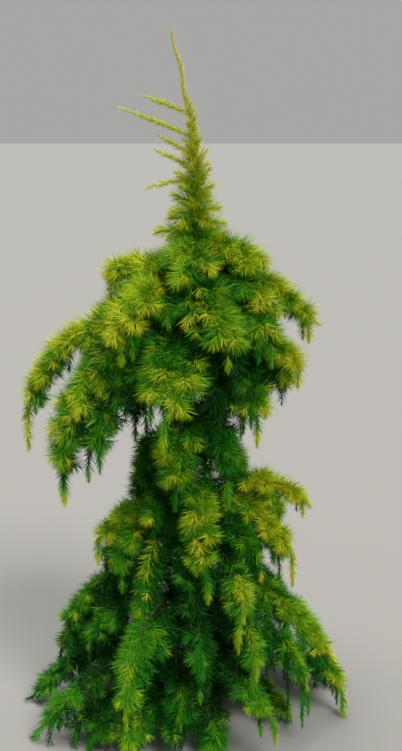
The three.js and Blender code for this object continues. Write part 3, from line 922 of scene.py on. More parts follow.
@dataclass(frozen=True)
class NeedleCoat:
    """How needles clothe a stem: in small bundles that stand round it in a golden spiral.

    A needle is two sides of a three-sided spike, so that it has few faces and is still a shape of its own.
    It is wider than a real needle, so that half a million of them cover the shoots as closely as in life.
    """

    # The distance from one needle to the next along the stem, half a needle's width and a bundle's count
    spacing: float = 0.345 * MM
    half_width: float = 0.85 * MM
    bundle: float = 2.0
    # Where a stem carries needles shorter than this it is bare
    shortest: float = 4.0 * MM
    # Where needles are thinned out each one is wider, by this power of the thinning
    wider_by_thinning: float = 0.25
    # A needle is in its own shade if its direction, as a vector 1 long, is lower than this
    shaded_below: float = -0.25
    # No needle goes lower than this
    ground: float = 1.0 * MM

    def values(self, tint: Tint, skins: dict[Tint, bpy.types.Material]) -> dict[str, object]:
        """The values of the tree's inputs for one tint.

        Args:
            tint: The tint.
            skins: The material of each tint.

        Returns:
            A value for each named input.
        """
        return {
            "Spacing": self.spacing * tint.thinning,
            "Half Width": self.half_width * tint.thinning**self.wider_by_thinning,
            "Bundle": self.bundle,
            "Ground": self.ground,
            "Material": skins[tint],
            # Needles that point down get the tint two steps darker: painted shade on the underside of a
            # spray
            "Shaded Material": skins[tint.underneath],
        }

    def tree(self) -> GrowthTree:
        """Make the tree of nodes that clothes every stem in needles.

        Returns:
            The tree.
        """
        growth = GrowthTree(
            "clothing of needles",
            {
                "Spacing": "NodeSocketFloat",
                "Half Width": "NodeSocketFloat",
                "Bundle": "NodeSocketFloat",
                "Ground": "NodeSocketFloat",
                "Material": "NodeSocketMaterial",
                "Shaded Material": "NodeSocketMaterial",
            },
        )
        given = growth.start.outputs
        curves = growth.node("GeometryNodeMeshToCurve", inputs={0: given["Geometry"]})
        places = growth.node(
            "GeometryNodeResampleCurve",
            {"mode": "LENGTH"},
            {"Curve": curves.outputs[0], "Length": given["Spacing"]},
        )
        index = growth.node("GeometryNodeInputIndex").outputs[0]
        order = growth.node("ShaderNodeMath", {"operation": "DIVIDE"}, {0: index, 1: given["Bundle"]})
        bundle = growth.node("ShaderNodeMath", {"operation": "FLOOR"}, {0: order.outputs[0]}).outputs[0]
        varied = {}
        for scatter in Scatter:
            inputs = {2: scatter.low, 3: scatter.high, "Seed": scatter.seed}
            if scatter.by_bundle:
                inputs["ID"] = bundle
            value = growth.node("FunctionNodeRandomValue", {"data_type": "FLOAT"}, inputs)
            varied[scatter] = value.outputs[1]
        rotation = self.rotation(growth, bundle, varied)
        usual = growth.node("GeometryNodeInputNamedAttribute", {"data_type": "FLOAT"}, {"Name": "needle"})
        length = growth.node(
            "ShaderNodeMath",
            {"operation": "MULTIPLY"},
            {0: usual.outputs[0], 1: varied[Scatter.LENGTH]},
        ).outputs[0]
        width = given["Half Width"]
        size = growth.node("ShaderNodeCombineXYZ", inputs={0: width, 1: width, 2: length})
        clothed = growth.node(
            "ShaderNodeMath", {"operation": "GREATER_THAN"}, {0: length, 1: self.shortest}
        )
        spike = growth.node(
            "GeometryNodeMeshCone",
            {"fill_type": "NONE"},
            {"Vertices": 3, "Radius Top": 0.0, "Radius Bottom": 1.0, "Depth": 1.0},
        )
        # The first of the spike's three faces has the index 0
        first_face = growth.node("ShaderNodeMath", {"operation": "LESS_THAN"}, {0: index, 1: 0.5})
        needle = growth.node(
            "GeometryNodeDeleteGeometry",
            {"domain": "FACE"},
            {"Geometry": spike.outputs[0], "Selection": first_face.outputs[0]},
        )
        needles = growth.node(
            "GeometryNodeInstanceOnPoints",
            inputs={
                "Points": places.outputs[0],
                "Selection": clothed.outputs[0],
                "Instance": needle.outputs[0],
                "Rotation": rotation,
                "Scale": size.outputs[0],
            },
        )
        growth.finish(self.rested(growth, self.marked(growth, needles.outputs[0], rotation)), "shaded")
        return growth

    def rotation(
        self,
        growth: GrowthTree,
        bundle: bpy.types.NodeSocket,
        varied: dict[Scatter, bpy.types.NodeSocket],
    ) -> bpy.types.NodeSocket:
        """Turn each needle round its stem, and then lean it outwards.

        Args:
            growth: The tree that gets the nodes.
            bundle: The number of the needle's bundle.
            varied: What differs at random.

        Returns:
            The needle's rotation.
        """
        tangent = growth.node("GeometryNodeInputTangent").outputs[0]
        turned = growth.node("FunctionNodeAlignRotationToVector", {"axis": "Z"}, {"Vector": tangent})
        spiral = growth.node("ShaderNodeMath", {"operation": "MULTIPLY"}, {0: bundle, 1: GOLDEN_ANGLE})
        lean = growth.node("GeometryNodeInputNamedAttribute", {"data_type": "FLOAT"}, {"Name": "angle"})
        for usual, by_bundle, by_needle, axis in (
            (spiral, Scatter.BUNDLE_TURN, Scatter.NEEDLE_TURN, (0.0, 0.0, 1.0)),
            (lean, Scatter.BUNDLE_LEAN, Scatter.NEEDLE_LEAN, (1.0, 0.0, 0.0)),
        ):
            stray = growth.node(
                "ShaderNodeMath", {"operation": "ADD"}, {0: varied[by_bundle], 1: varied[by_needle]}
            )
            angle = growth.node(
                "ShaderNodeMath", {"operation": "ADD"}, {0: usual.outputs[0], 1: stray.outputs[0]}
            )
            step = growth.node(
                "FunctionNodeAxisAngleToRotation", inputs={"Axis": axis, "Angle": angle.outputs[0]}
            )
            turned = growth.node(
                "FunctionNodeRotateRotation",
                {"rotation_space": "LOCAL"},
                {"Rotation": turned.outputs[0], "Rotate By": step.outputs[0]},
            )
        return turned.outputs[0]

    def marked(
        self,
        growth: GrowthTree,
        needles: bpy.types.NodeSocket,
        rotation: bpy.types.NodeSocket,
    ) -> bpy.types.NodeSocket:
        """Mark the needles that point down and so lie in their own shade.

        Args:
            growth: The tree that gets the nodes.
            needles: The needles, still as instances.
            rotation: Their rotation.

        Returns:
            The needles, with the attribute "shaded".
        """
        pointing = growth.node(
            "FunctionNodeRotateVector", inputs={"Vector": (0.0, 0.0, 1.0), "Rotation": rotation}
        )
        parts = growth.node("ShaderNodeSeparateXYZ", inputs={0: pointing.outputs[0]})
        shaded = growth.node(
            "ShaderNodeMath", {"operation": "LESS_THAN"}, {0: parts.outputs["Z"], 1: self.shaded_below}
        )
        stored = growth.node(
            "GeometryNodeStoreNamedAttribute",
            {"data_type": "BOOLEAN", "domain": "INSTANCE"},
            {"Geometry": needles, "Name": "shaded", "Value": shaded.outputs[0]},
        )
        return stored.outputs[0]

    def rested(self, growth: GrowthTree, needles: bpy.types.NodeSocket) -> bpy.types.NodeSocket:
        """Bend the needles that reach below the ground so that they lie on it.

        Args:
            growth: The tree that gets the nodes.
            needles: The needles, as instances.

        Returns:
            The needles, made real.
        """
        real = growth.node("GeometryNodeRealizeInstances", inputs={0: needles})
        position = growth.node("GeometryNodeInputPosition")
        place = growth.node("ShaderNodeSeparateXYZ", inputs={0: position.outputs[0]})
        height = growth.node(
            "ShaderNodeMath",
            {"operation": "MAXIMUM"},
            {0: place.outputs["Z"], 1: growth.start.outputs["Ground"]},
        )
        lifted = growth.node(
            "ShaderNodeCombineXYZ",
            inputs={0: place.outputs["X"], 1: place.outputs["Y"], 2: height.outputs[0]},
        )
        rested = growth.node(
            "GeometryNodeSetPosition", inputs={"Geometry": real.outputs[0], "Position": lifted.outputs[0]}
        )
        return rested.outputs[0]


def finish_piece(made: bpy.types.Object, replaced: Sequence[str] = ()) -> None:
    """Fix a finished piece to the tree and hide the frame's nodes that it stands for.

    Args:
        made: The piece, at the origin.
        replaced: The nodes that it replaces.
    """
    if replaced:
        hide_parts(*replaced)
    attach(made, "root")


@dataclass
class Trunk:
    """The trunk, from the flat cut at the ground to the tip of the bent leader."""

    height: float = 1800 * MM
    foot_radius: float = 16 * MM
    leader_radius: float = 2.2 * MM
    taper: float = 1.1
    flare: float = 9 * MM
    flare_height: float = 38 * MM
    flare_lobes: int = 5
    flare_lobe_depth: float = 0.22
    sides: int = 36
    step: float = 7 * MM
    # The furrows of the bark: how deep they are, how far apart, and how much coarser along the stem
    bark_relief: float = 0.9 * MM
    bark_spacing: float = 5 * MM
    bark_drawn_out: float = 0.25
    # Where the trunk is thinner than this, its furrows are shallower
    full_relief_radius: float = 12 * MM
    # How much weaker and how much finer each layer of the relief is than the last, and how many there are
    relief_weakening: float = 0.8
    relief_refining: float = 2.0
    relief_layers: int = 3
    # How far the middle stands from the vertical: height, to +X, to +Y
    lean: tuple[tuple[float, float, float], ...] = (
        (0.0, 0.0, 0.0),
        (0.840, -0.009, 0.005),
        (1.412, 0.010, -0.004),
        (1.560, 0.003, 0.0),
        (1.680, -0.021, 0.002),
        (1.800, -0.048, 0.0),
    )

    def middle(self, height: float) -> Vector:
        """Find the middle of the trunk.

        Args:
            height: The height at which it is wanted.

        Returns:
            The place.
        """
        for (low, x_low, y_low), (high, x_high, y_high) in zip(self.lean, self.lean[1:]):
            if height <= high:
                break
        share = smoothstep(height, low, high)
        return Vector((mix(x_low, x_high, share), mix(y_low, y_high, share), height))

    def radius(self, height: float) -> float:
        """The trunk's radius at a height, above the flare."""
        share = max(0.0, 1.0 - height / self.height)
        return self.leader_radius + (self.foot_radius - self.leader_radius) * share**self.taper

    def surface(self, height: float, angle: float) -> Vector:
        """Find a place on the bark, with its lobes at the foot and the relief of its furrows.

        Args:
            height: Its height.
            angle: Its bearing, in radians.

        Returns:
            The place.
        """
        lobes = 1.0 + self.flare_lobe_depth * math.cos(self.flare_lobes * angle)
        radius = self.radius(height) + self.flare * math.exp(-height / self.flare_height) * lobes
        upwards = height * self.bark_drawn_out
        sample = Vector((math.cos(angle) * radius, math.sin(angle) * radius, upwards)) / self.bark_spacing
        depth = self.bark_relief * min(1.0, radius / self.full_relief_radius)
        relief = noise.fractal(sample, self.relief_weakening, self.relief_refining, self.relief_layers)
        radius += depth * relief
        return self.middle(height) + Vector((math.cos(angle), math.sin(angle), 0.0)) * radius

    def build(self, skin: bpy.types.Material) -> bpy.types.Object:
        """Make the trunk's bark as one closed mesh.

        Args:
            skin: The bark.

        Returns:
            The piece, which replaces the trunk's solid.
        """
        rings = round(self.height / self.step)
        angles = [2 * math.pi * side / self.sides for side in range(self.sides)]
        places = []
        for ring in range(rings + 1):
            height = self.height * ring / rings
            places.extend(self.surface(height, angle) for angle in angles)
        faces = []
        for ring in range(rings):
            for side in range(self.sides):
                low = ring * self.sides
                after = (side + 1) % self.sides
                high = low + self.sides
                faces.append((low + side, low + after, high + after, high + side))
        faces.append(tuple(reversed(range(self.sides))))
        faces.append(tuple(range(rings * self.sides, (rings + 1) * self.sides)))
        mesh = bpy.data.meshes.new("trunk_bark")
        mesh.from_pydata([tuple(place) for place in places], [], faces)
        mesh.shade_smooth()
        mesh.materials.append(skin)
        made = bpy.data.objects.new("trunk_bark", mesh)
        bpy.context.scene.collection.objects.link(made)
        finish_piece(made, ["trunk"])
        return made


@dataclass(frozen=True)
class ShootRule:
    """How a shoot of any kind sets out straight and sags towards its tip."""

    root_radius: float = 1.1 * MM
    tip_radius: float = 0.6 * MM
    # How near a shoot ends that sags by its whole length or more, as a share of the length
    drawn_in: float = 0.72
    # A shoot up to this length gets the fewer steps
    fine_length: float = 36 * MM
    fine_steps: int = 3
    steps: int = 6
    divisions: int = 12

    def grow(
        self,
        start: Vector,
        direction: Vector,
        length: float,
        sag: float,
        light: float,
        needle: float,
        **facts: float,
    ) -> Shoot:
        """Grow a shoot.

        Args:
            start: Its root.
            direction: The way it sets out.
            length: Its length.
            sag: How far the tip comes down, as a share of the length.
            light: The light that it gets.
            needle: The length of its needles.
            **facts: Other facts about the shoot.

        Returns:
            The shoot.
        """
        middle = start + direction * (length / 2)
        end = start + direction * (length * mix(1.0, self.drawn_in, min(1.0, sag))) - UP * (sag * length)
        path = Path(bezier([start, middle, end]), divisions=self.divisions)
        points = path.points(0.0, 1.0, self.steps if length > self.fine_length else self.fine_steps)
        return Shoot(points, self.root_radius, self.tip_radius, light, needle, **facts)


@dataclass(frozen=True)
class LimbRule:
    """How a limb arches, how thick it is and where it carries its shoots."""

    # The two places that bend its curve, in shares of its reach, lift and fall, and its swing to the side
    rise_at: float = 0.38
    rise: float = 1.5
    crest: float = 1.3
    droop: float = 0.15
    swing: float = 0.24
    # The share of the limb that is bare: a bough, or else the foot of a limb that has none
    bough_share: float = 0.17
    bare_share: float = 0.1
    # Its radius at the root, what a long reach adds to that, and its radius at the tip
    root_radius: float = 2.4 * MM
    root_radius_by_reach: float = 0.0088
    tip_radius: float = 1.3 * MM
    taper: float = 1.3
    # A limb is bark up to one share of its length, and a twig, a little thinner, from just below that
    bark_to: float = 0.55
    bark_steps: int = 14
    twig_from: float = 0.54
    twig_steps: int = 12
    twig_thinner: float = 0.8
    shoot_spacing: float = 38 * MM
    fewest_shoots: int = 3
    # Shoots halfway between those of the solids are numbered from here on
    halfway_number: int = 100
    needle_steps: int = 14
    needle_light: float = 1.08
    needle_root_angle: float = 68
    needle_tip_angle: float = 14

    def path(self, root: Vector, number: int, plan: LimbPlan) -> Path:
        """Lay a limb's path: out and up from the trunk's middle, over the arch and down to its tip.

        Args:
            root: Where it leaves the trunk's middle.
            number: The limb's number.
            plan: The limb.

        Returns:
            The path.
        """
        out = outward(plan.bearing)
        reach, lift, fall = plan.reach * MM, plan.lift * MM, plan.fall * MM
        swing = outward(plan.bearing + 90) * (reach * self.swing * (chance(number, Draw.SWING) - 0.5))
        places = [
            root,
            root + out * (self.rise_at * reach) + UP * (self.rise * lift),
            root + out * (plan.shoulder * reach) + UP * (self.crest * lift - self.droop * fall) + swing,
            root + out * reach - UP * fall,
        ]
        return Path(bezier(places), out)

    def thickness(self, plan: LimbPlan, share: float) -> float:
        """The limb's radius at a share of its length."""
        root = self.root_radius + self.root_radius_by_reach * plan.reach * MM
        return self.tip_radius + (root - self.tip_radius) * (1 - share) ** self.taper


@dataclass(frozen=True)
class SideRule:
    """How side shoots leave a limb, by the rule that the solids follow.

    A size is what it is at the first of them. Lost or gained is how much it changes up to the last, least is
    what chance leaves of it at least, and stray is how much chance gives or takes.
    """

    # Where the first stands, and how much farther out the last does, as shares of the limb past its foot
    first: float = 0.04
    span: float = 0.82
    angle: float = 60.0
    angle_lost: float = 24.0
    angle_stray: float = 14
    tilt_stray: float = 1.1
    # The share of the shoots that tilt downwards
    tilted_down: float = 0.4
    length: float = 1.06
    length_lost: float = 0.66
    length_bend: float = 1.5
    length_least: float = 0.8
    length_stray: float = 0.3
    sag_least: float = 0.8
    sag_stray: float = 1.0
    light: float = 0.84
    light_gained: float = 0.28
    light_stray: float = 0.1


@dataclass(frozen=True)
class FineRule:
    """How the short shoots leave a side shoot in their turn: their sizes, and what is left to chance.

    They tilt as the side shoots do.
    """

    count: int = 3
    angles: tuple[float, float] = (34, 54)
    length: float = 26 * MM
    length_least: float = 0.75
    length_stray: float = 0.5
    sag: float = 0.25
    light_least: float = 0.99
    light_stray: float = 0.1
    needle: float = 0.86


@dataclass(frozen=True)
class PendantRule:
    """How long slender shoots hang from a limb's outer half like tails."""

    # In millimetres of the limb's reach
    spacing: float = 75
    first: float = 0.5
    last: float = 0.98
    # How far into its stretch of the limb each stands at least, and how much chance adds
    place_least: float = 0.2
    place_stray: float = 0.6
    outwards: float = 0.5
    length: float = 90 * MM
    length_least: float = 0.7
    length_stray: float = 0.6
    length_bend: float = 3
    # What a limb that doesn't weep at all leaves of the length
    length_unhung: float = 0.5
    # Where the curve bends down: the share of the way out, and of the length down
    bend_out: float = 0.5
    bend_down: float = 0.1
    steps: int = 8
    divisions: int = 12
    root_radius: float = 1.2 * MM
    tip_radius: float = 0.6 * MM
    light: float = 1.1
    needle: float = 0.66
    root_angle: float = 48
    tip_angle: float = 12


@dataclass(frozen=True)
class Clothing:
    """How a stem is clothed: its light, its needles as a share of the usual ones, and their angles."""

    light: float
    needle: float
    root_angle: float
    tip_angle: float


@dataclass(frozen=True)
class LeaderRule:
    """How the bent leader is clothed: needles of its own, bare whips, and a collar of young shoots.

    Where a size is a pair, it goes from the first at the collar's foot to the second at the top.
    """

    foot: float = 1300 * MM
    steps: int = 12
    lower: Clothing = Clothing(1.05, 1.0, 60, 30)
    upper: Clothing = Clothing(1.5, 0.45, 30, 20)
    whip: Clothing = Clothing(1.35, 0.46, 40, 16)
    shoots: int = 56
    # How far below the tip the last shoot stands, and how the shoots crowd towards the foot
    bare_top: float = 165 * MM
    crowding: float = 1.2
    bend: float = 0.7
    rises: tuple[float, float] = (-4, 74)
    rise_stray: float = 14
    # In millimetres
    lengths: tuple[float, float] = (112, 8)
    length_least: float = 0.85
    length_stray: float = 0.3
    # The shoots on the left, as seen in the photograph, are the longer ones
    length_to_left: float = 0.12
    sags: tuple[float, float] = (0.25, 0.0)
    lights: tuple[float, float] = (0.94, 1.45)
    light_stray: float = 0.2
    needles: tuple[float, float] = (1.0, 0.5)
    angles: tuple[float, float] = (58, 16)
    root_angle_more: float = 4
    tip_angle_less: float = 20
    least_tip_angle: float = 8.0


@dataclass
class Crown:
    """Everything that grows from the trunk: boughs, twigs, young shoots and their needles."""

    trunk: Trunk
    coat: NeedleCoat = NeedleCoat()
    shoot: ShootRule = ShootRule()
    limb: LimbRule = LimbRule()
    side: SideRule = SideRule()
    fine: FineRule = FineRule()
    pendant: PendantRule = PendantRule()
    leader: LeaderRule = LeaderRule()
    needle: float = 45 * MM
    # Needles grow longer from the skirt up to the dome: the heights between, and the shares of the length
    short_below: float = 450
    long_above: float = 1050
    short_share: float = 0.84
    long_share: float = 1.08
    # The first needles of a shoot are shorter, and the last ones by its tip are the shortest
    root_needle: float = 0.8
    tip_needle: float = 0.5
    # The parts of a shoot that have tints of their own, and how much more light each gets: the inner part
    # darker, which is painted shade, and the tip brighter, as the cultivar's young tips are golden
    zones: tuple[float, ...] = (0.0, 0.33, 0.67, 1.0)
    zone_gains: tuple[float, ...] = (-0.28, -0.12, 0.09)
    # How strongly the daylight that gets through the crown tells on the tint
    daylight_weight: float = 2.3
    usual_daylight: float = 0.81
    most_gain: float = 0.18
    # The palest needles grow on the leader alone, so no other shoot gets more light than this
    most_light: float = 1.29
    triangles_by_needle: int = 2
    most_triangles: int = 183_000
    # How many sides the stems have: fewer as they get finer
    bough_sides: int = 8
    twig_sides: int = 5
    young_sides: int = 3
    boughs: StemMesh = field(default_factory=StemMesh)
    twigs: StemMesh = field(default_factory=StemMesh)
    young: StemMesh = field(default_factory=StemMesh)
    canopy: Canopy = field(default_factory=Canopy)
    shoots: list[Shoot] = field(default_factory=list)

    def needle_of(self, plan: LimbPlan) -> float:
        """The length of a limb's needles."""
        share = smoothstep(plan.height, self.short_below, self.long_above)
        return self.needle * mix(self.short_share, self.long_share, share)

    def side_shoot(
        self, number: int, key: int, path: Path, start: float, share: float, plan: LimbPlan
    ) -> Shoot:
        """Grow one side shoot of a limb.

        Args:
            number: The limb's number.
            key: The shoot's number. Odd ones stand on one side and even ones on the other.
            path: The limb's path.
            start: The share of the limb at which its shoots begin.
            share: How far from the first to the last shoot this one is.
            plan: The limb.

        Returns:
            The shoot.
        """
        rule = self.side
        place = path.frame(start + (1 - start) * (rule.first + rule.span * share))
        stray = rule.angle_stray * (chance(number, key, Draw.TURN) - 0.5)
        turn = math.radians(rule.angle - rule.angle_lost * share + stray)
        aside = place.side * (handedness(key) * math.sin(turn))
        tilt = rule.tilt_stray * (chance(number, key, Draw.TILT) - rule.tilted_down)
        direction = place.along * math.cos(turn) + aside + place.up * tilt
        shortened = rule.length - rule.length_lost * share**rule.length_bend
        varied = rule.length_least + rule.length_stray * chance(number, key, Draw.LENGTH)
        length = plan.spread * MM * shortened * varied
        sag = plan.hang * (rule.sag_least + rule.sag_stray * chance(number, key, Draw.SAG))
        stray = rule.light_stray * (chance(number, key, Draw.LIGHT) - 0.5)
        light = plan.light * (rule.light + rule.light_gained * share + stray)
        return self.shoot.grow(
            place.point, direction.normalized(), length, sag, light, self.needle_of(plan)
        )

    def fine_shoots_of(self, parent: Shoot, number: int, key: int) -> list[Shoot]:
        """Grow the short shoots that a side shoot carries in its turn.

        Args:
            parent: The side shoot.
            number: The limb's number.
            key: The side shoot's number.

        Returns:
            The shoots.
        """
        rule = self.fine
        grown = []
        for i in range(rule.count):
            # On a long side shoot they stand from its second place to the third from its tip
            at = 1 + round((len(parent.points) - 4) * i / (rule.count - 1))
            along = (parent.points[at + 1] - parent.points[at]).normalized()
            side = along.cross(UP).normalized()
            turn = math.radians(mix(*rule.angles, chance(number, key, i, Draw.FINE_TURN)))
            aside = side * (handedness(i + key) * math.sin(turn))
            tilt = self.side.tilt_stray * (chance(number, key, i, Draw.FINE_TILT) - self.side.tilted_down)
            direction = along * math.cos(turn) + aside + UP * tilt
            varied = rule.length_least + rule.length_stray * chance(number, key, i, Draw.FINE_LENGTH)
            light = rule.light_least + rule.light_stray * chance(number, key, i, Draw.FINE_LIGHT)
            grown.append(
                self.shoot.grow(
                    parent.points[at],
                    direction.normalized(),
                    rule.length * varied,
                    rule.sag,
                    parent.light * light,
                    rule.needle * parent.needle,
                )
            )
        return grown

    def pendants_of(self, number: int, path: Path, plan: LimbPlan) -> list[Shoot]:
        """Grow the long slender shoots that hang from a limb.

        Args:
            number: The limb's number.
            path: The limb's path.
            plan: The limb.

        Returns:
            The shoots.
        """
        rule = self.pendant
        grown = []
        count = round(plan.reach / rule.spacing)
        for i in range(count):
            stray = rule.place_stray * chance(number, i, Draw.PENDANT_PLACE)
            place = path.frame(mix(rule.first, rule.last, (i + stray + rule.place_least) / count))
            aside = handedness(i) * rule.outwards * chance(number, i, Draw.PENDANT_SIDE)
            out = place.along * rule.outwards + place.side * aside
            stray = rule.length_stray * chance(number, i, Draw.PENDANT_LENGTH) ** rule.length_bend
            length = rule.length * (rule.length_least + stray) * (rule.length_unhung + plan.hang)
            away = out * (rule.bend_out * length)
            start = place.point
            bend = start + away - UP * (rule.bend_down * length)
            curve = bezier([start, bend, start + away - UP * length])
            hanging = Path(curve, divisions=rule.divisions)
            grown.append(
                Shoot(
                    hanging.points(0.0, 1.0, rule.steps),
                    rule.root_radius,
                    rule.tip_radius,
                    rule.light * plan.light,
                    rule.needle * self.needle_of(plan),
                    rule.root_angle,
                    rule.tip_angle,
                )
            )
        return grown

    def grow_limb(self, number: int, plan: LimbPlan, has_bough: bool) -> None:
        """Grow one limb with its bough or bare foot, its twig, and all its shoots.

        Args:
            number: The limb's number, which makes its random values its own.
            plan: The limb.
            has_bough: Whether it is one of the frame's boughs.
        """
        rule = self.limb
        path = rule.path(self.trunk.middle(plan.height * MM), number, plan)
        start = rule.bough_share if has_bough else rule.bare_share
        for stems, low, high, steps, thinner in (
            (self.boughs, 0.0, rule.bark_to, rule.bark_steps, 1.0),
            (self.twigs, rule.twig_from, 1.0, rule.twig_steps, rule.twig_thinner),
        ):
            shares = [mix(low, high, i / steps) for i in range(steps + 1)]
            thickness = [thinner * rule.thickness(plan, share) for share in shares]
            stems.add(path.points(low, high, steps), thickness=thickness)
        count = max(rule.fewest_shoots, round((1 - start) * path.length / rule.shoot_spacing))
        # Even steps are the side shoots of the solids, and odd ones stand halfway between them
        for half in range(2 * count - 1):
            key = half // 2 if half % 2 == 0 else rule.halfway_number + half // 2
            shoot = self.side_shoot(number, key, path, start, (half / 2 + 0.5) / count, plan)
            self.shoots.append(shoot)
            self.shoots.extend(self.fine_shoots_of(shoot, number, key))
        self.shoots.extend(self.pendants_of(number, path, plan))
        self.shoots.append(
            Shoot(
                path.points(start, 1.0, rule.needle_steps),
                0.0,
                0.0,
                rule.needle_light * plan.light,
                self.needle_of(plan),
                rule.needle_root_angle,
                rule.needle_tip_angle,
            )
        )

    def grow_leader(self) -> None:
        """Grow the leader's own needles, its whips, and the young shoots that thicken towards its foot."""
        rule = self.leader
        halfway = 0.5 * (rule.foot + self.trunk.height)
        for low, high, worn in (
            (rule.foot, halfway, rule.lower),
            (halfway, self.trunk.height, rule.upper),
        ):
            self.shoots.append(
                Shoot(
                    [self.trunk.middle(mix(low, high, i / rule.steps)) for i in range(rule.steps + 1)],
                    0.0,
                    0.0,
                    worn.light,
                    worn.needle * self.needle,
                    worn.root_angle,
                    worn.tip_angle,
                    shaded=False,
                )
            )
        for whip in WHIPS:
            rise = math.radians(whip.rise)
            self.shoots.append(
                self.shoot.grow(
                    self.trunk.middle(whip.height * MM),
                    outward(whip.bearing) * math.cos(rise) + UP * math.sin(rise),
                    whip.length * MM,
                    whip.sag,
                    rule.whip.light,
                    rule.whip.needle * self.needle,
                    root_angle=rule.whip.root_angle,
                    tip_angle=rule.whip.tip_angle,
                    shaded=False,
                )
            )
        self.shoots.extend(self.collar_shoot(i) for i in range(rule.shoots))

    def collar_shoot(self, i: int) -> Shoot:
        """Grow one of the young shoots round the leader.

        Args:
            i: Its number, from the collar's foot upwards.

        Returns:
            The shoot.
        """
        rule = self.leader
        share = (i + 0.5) / rule.shoots
        bent = share**rule.bend
        height = mix(rule.foot, self.trunk.height - rule.bare_top, share**rule.crowding)
        rise = math.radians(mix(*rule.rises, bent) + rule.rise_stray * (chance(Draw.LEADER_RISE, i) - 0.5))
        direction = outward(math.degrees(i * GOLDEN_ANGLE)) * math.cos(rise) + UP * math.sin(rise)
        varied = rule.length_least + rule.length_stray * chance(Draw.LEADER_LENGTH, i)
        length = mix(*rule.lengths, bent) * MM * varied * (1.0 - rule.length_to_left * direction.x)
        light = mix(*rule.lights, share) + rule.light_stray * (chance(Draw.LEADER_LIGHT, i) - 0.5)
        angle = mix(*rule.angles, bent)
        return self.shoot.grow(
            self.trunk.middle(height),
            direction,
            length,
            mix(*rule.sags, share),
            light,
            self.needle * mix(*rule.needles, share),
            root_angle=angle + rule.root_angle_more,
            tip_angle=max(rule.least_tip_angle, angle - rule.tip_angle_less),
            shaded=False,
        )

    def grow(self, bough_names: set[str]) -> None:
        """Grow the whole crown.

        Args:
            bough_names: The frame's boughs.
        """
        for number, plan in enumerate(LIMBS + INNER_LIMBS, 1):
            self.grow_limb(number, plan, "bough_" + plan.name in bough_names)
        self.grow_leader()
        self.canopy.fill(self.shoots)
        for shoot in self.shoots:
            if shoot.root_radius > 0:
                last = len(shoot.points) - 1
                thickness = [mix(shoot.root_radius, shoot.tip_radius, i / last) for i in range(last + 1)]
                self.young.add(shoot.points, thickness=thickness)

    def tint_of(self, shoot: Shoot, place: Vector, gain: float) -> Tint:
        """Choose the tint of one part of a shoot.

        Args:
            shoot: The shoot.
            place: The middle of the part.
            gain: How much more light than the whole shoot it gets.

        Returns:
            The tint.
        """
        light = shoot.light + gain
        if shoot.shaded:
            # Where the crown shades a part its tint is darker: painted shade
            through = self.canopy.daylight(place) - self.usual_daylight
            light += min(self.most_gain, self.daylight_weight * through)
            light = min(self.most_light, light)
        return Tint.of_light(light)

    def sprays(self) -> dict[Tint, list[StemMesh]]:
        """Share the shoots out as sprays by tint: the inner, the middle and the bright outer part of each.

        Returns:
            For each tint, stems in lots that stay within the limit on triangles.
        """
        dealt: dict[Tint, list[StemMesh]] = {tint: [StemMesh()] for tint in Tint}
        used = {tint: 0.0 for tint in Tint}
        for shoot in self.shoots:
            last = len(shoot.points) - 1
            shares = [i / last for i in range(last + 1)]
            # Over its first third the needles reach their length, and over its last third they lose it
            needles = [
                shoot.needle
                * mix(self.root_needle, 1.0, min(1.0, 3 * share))
                * mix(1.0, self.tip_needle, max(0.0, 3 * share - 2))
                for share in shares
            ]
            angles = [math.radians(mix(shoot.root_angle, shoot.tip_angle, share**2)) for share in shares]
            cuts = [round(last * share) for share in self.zones]
            for first, final, gain in zip(cuts, cuts[1:], self.zone_gains):
                part = slice(first, final + 1)
                tint = self.tint_of(shoot, shoot.points[(first + final) // 2], gain)
                clothed = self.triangles_by_needle * (final - first) / last * shoot.length
                cost = clothed / (self.coat.spacing * tint.thinning)
                if used[tint] + cost > self.most_triangles:
                    dealt[tint].append(StemMesh())
                    used[tint] = 0.0
                used[tint] += cost
                dealt[tint][-1].add(shoot.points[part], needle=needles[part], angle=angles[part])
        return dealt

    def build(
        self, nodes_by_slot: dict[str, list[str]], boughs: list[str], bark: bpy.types.Material
    ) -> list[bpy.types.Object]:
        """Make the boughs, twigs, shoots and needles.

        Args:
            nodes_by_slot: The frame's masses of foliage, by their material slot.
            boughs: The frame's boughs.
            bark: The bark of the boughs.

        Returns:
            The pieces.
        """
        pieces = []
        stems = stem_tree()
        for gathered, name, slot, sides, skin, replaced in (
            (self.boughs, "bough_bark", "bark", self.bough_sides, bark, boughs),
            (self.twigs, "twigs", "bark", self.twig_sides, OLD_TWIG.material(), []),
            (self.young, "young_shoots", "shoot", self.young_sides, YOUNG_SHOOT.material(), []),
        ):
            made = stems.grow(gathered.build(name), {"Sides": sides, "Material": skin})
            finish_piece(made, replaced)
            pieces.append(made)
        clothing = self.coat.tree()
        skins = {finish.tint: finish.material() for finish in NEEDLE_FINISHES}
        waiting = dict(nodes_by_slot)
        for tint, lots in self.sprays().items():
            for number, lot in enumerate(lots, 1):
                if not lot.places:
                    continue
                stem_lot = lot.build(f"needles_{tint.name.lower()}_{number}")
                made = clothing.grow(stem_lot, self.coat.values(tint, skins))
                # The first piece of a slot stands for all the masses of foliage of that slot
                finish_piece(made, waiting.pop(tint.slot, []))
                pieces.append(made)
        return pieces


@dataclass(frozen=True)
class Sun:
    """A wide, soft sun: the way it shines, the width of its disc in degrees, and its strength."""

    name: str
    aim: tuple[float, float, float]
    width: float
    strength: float


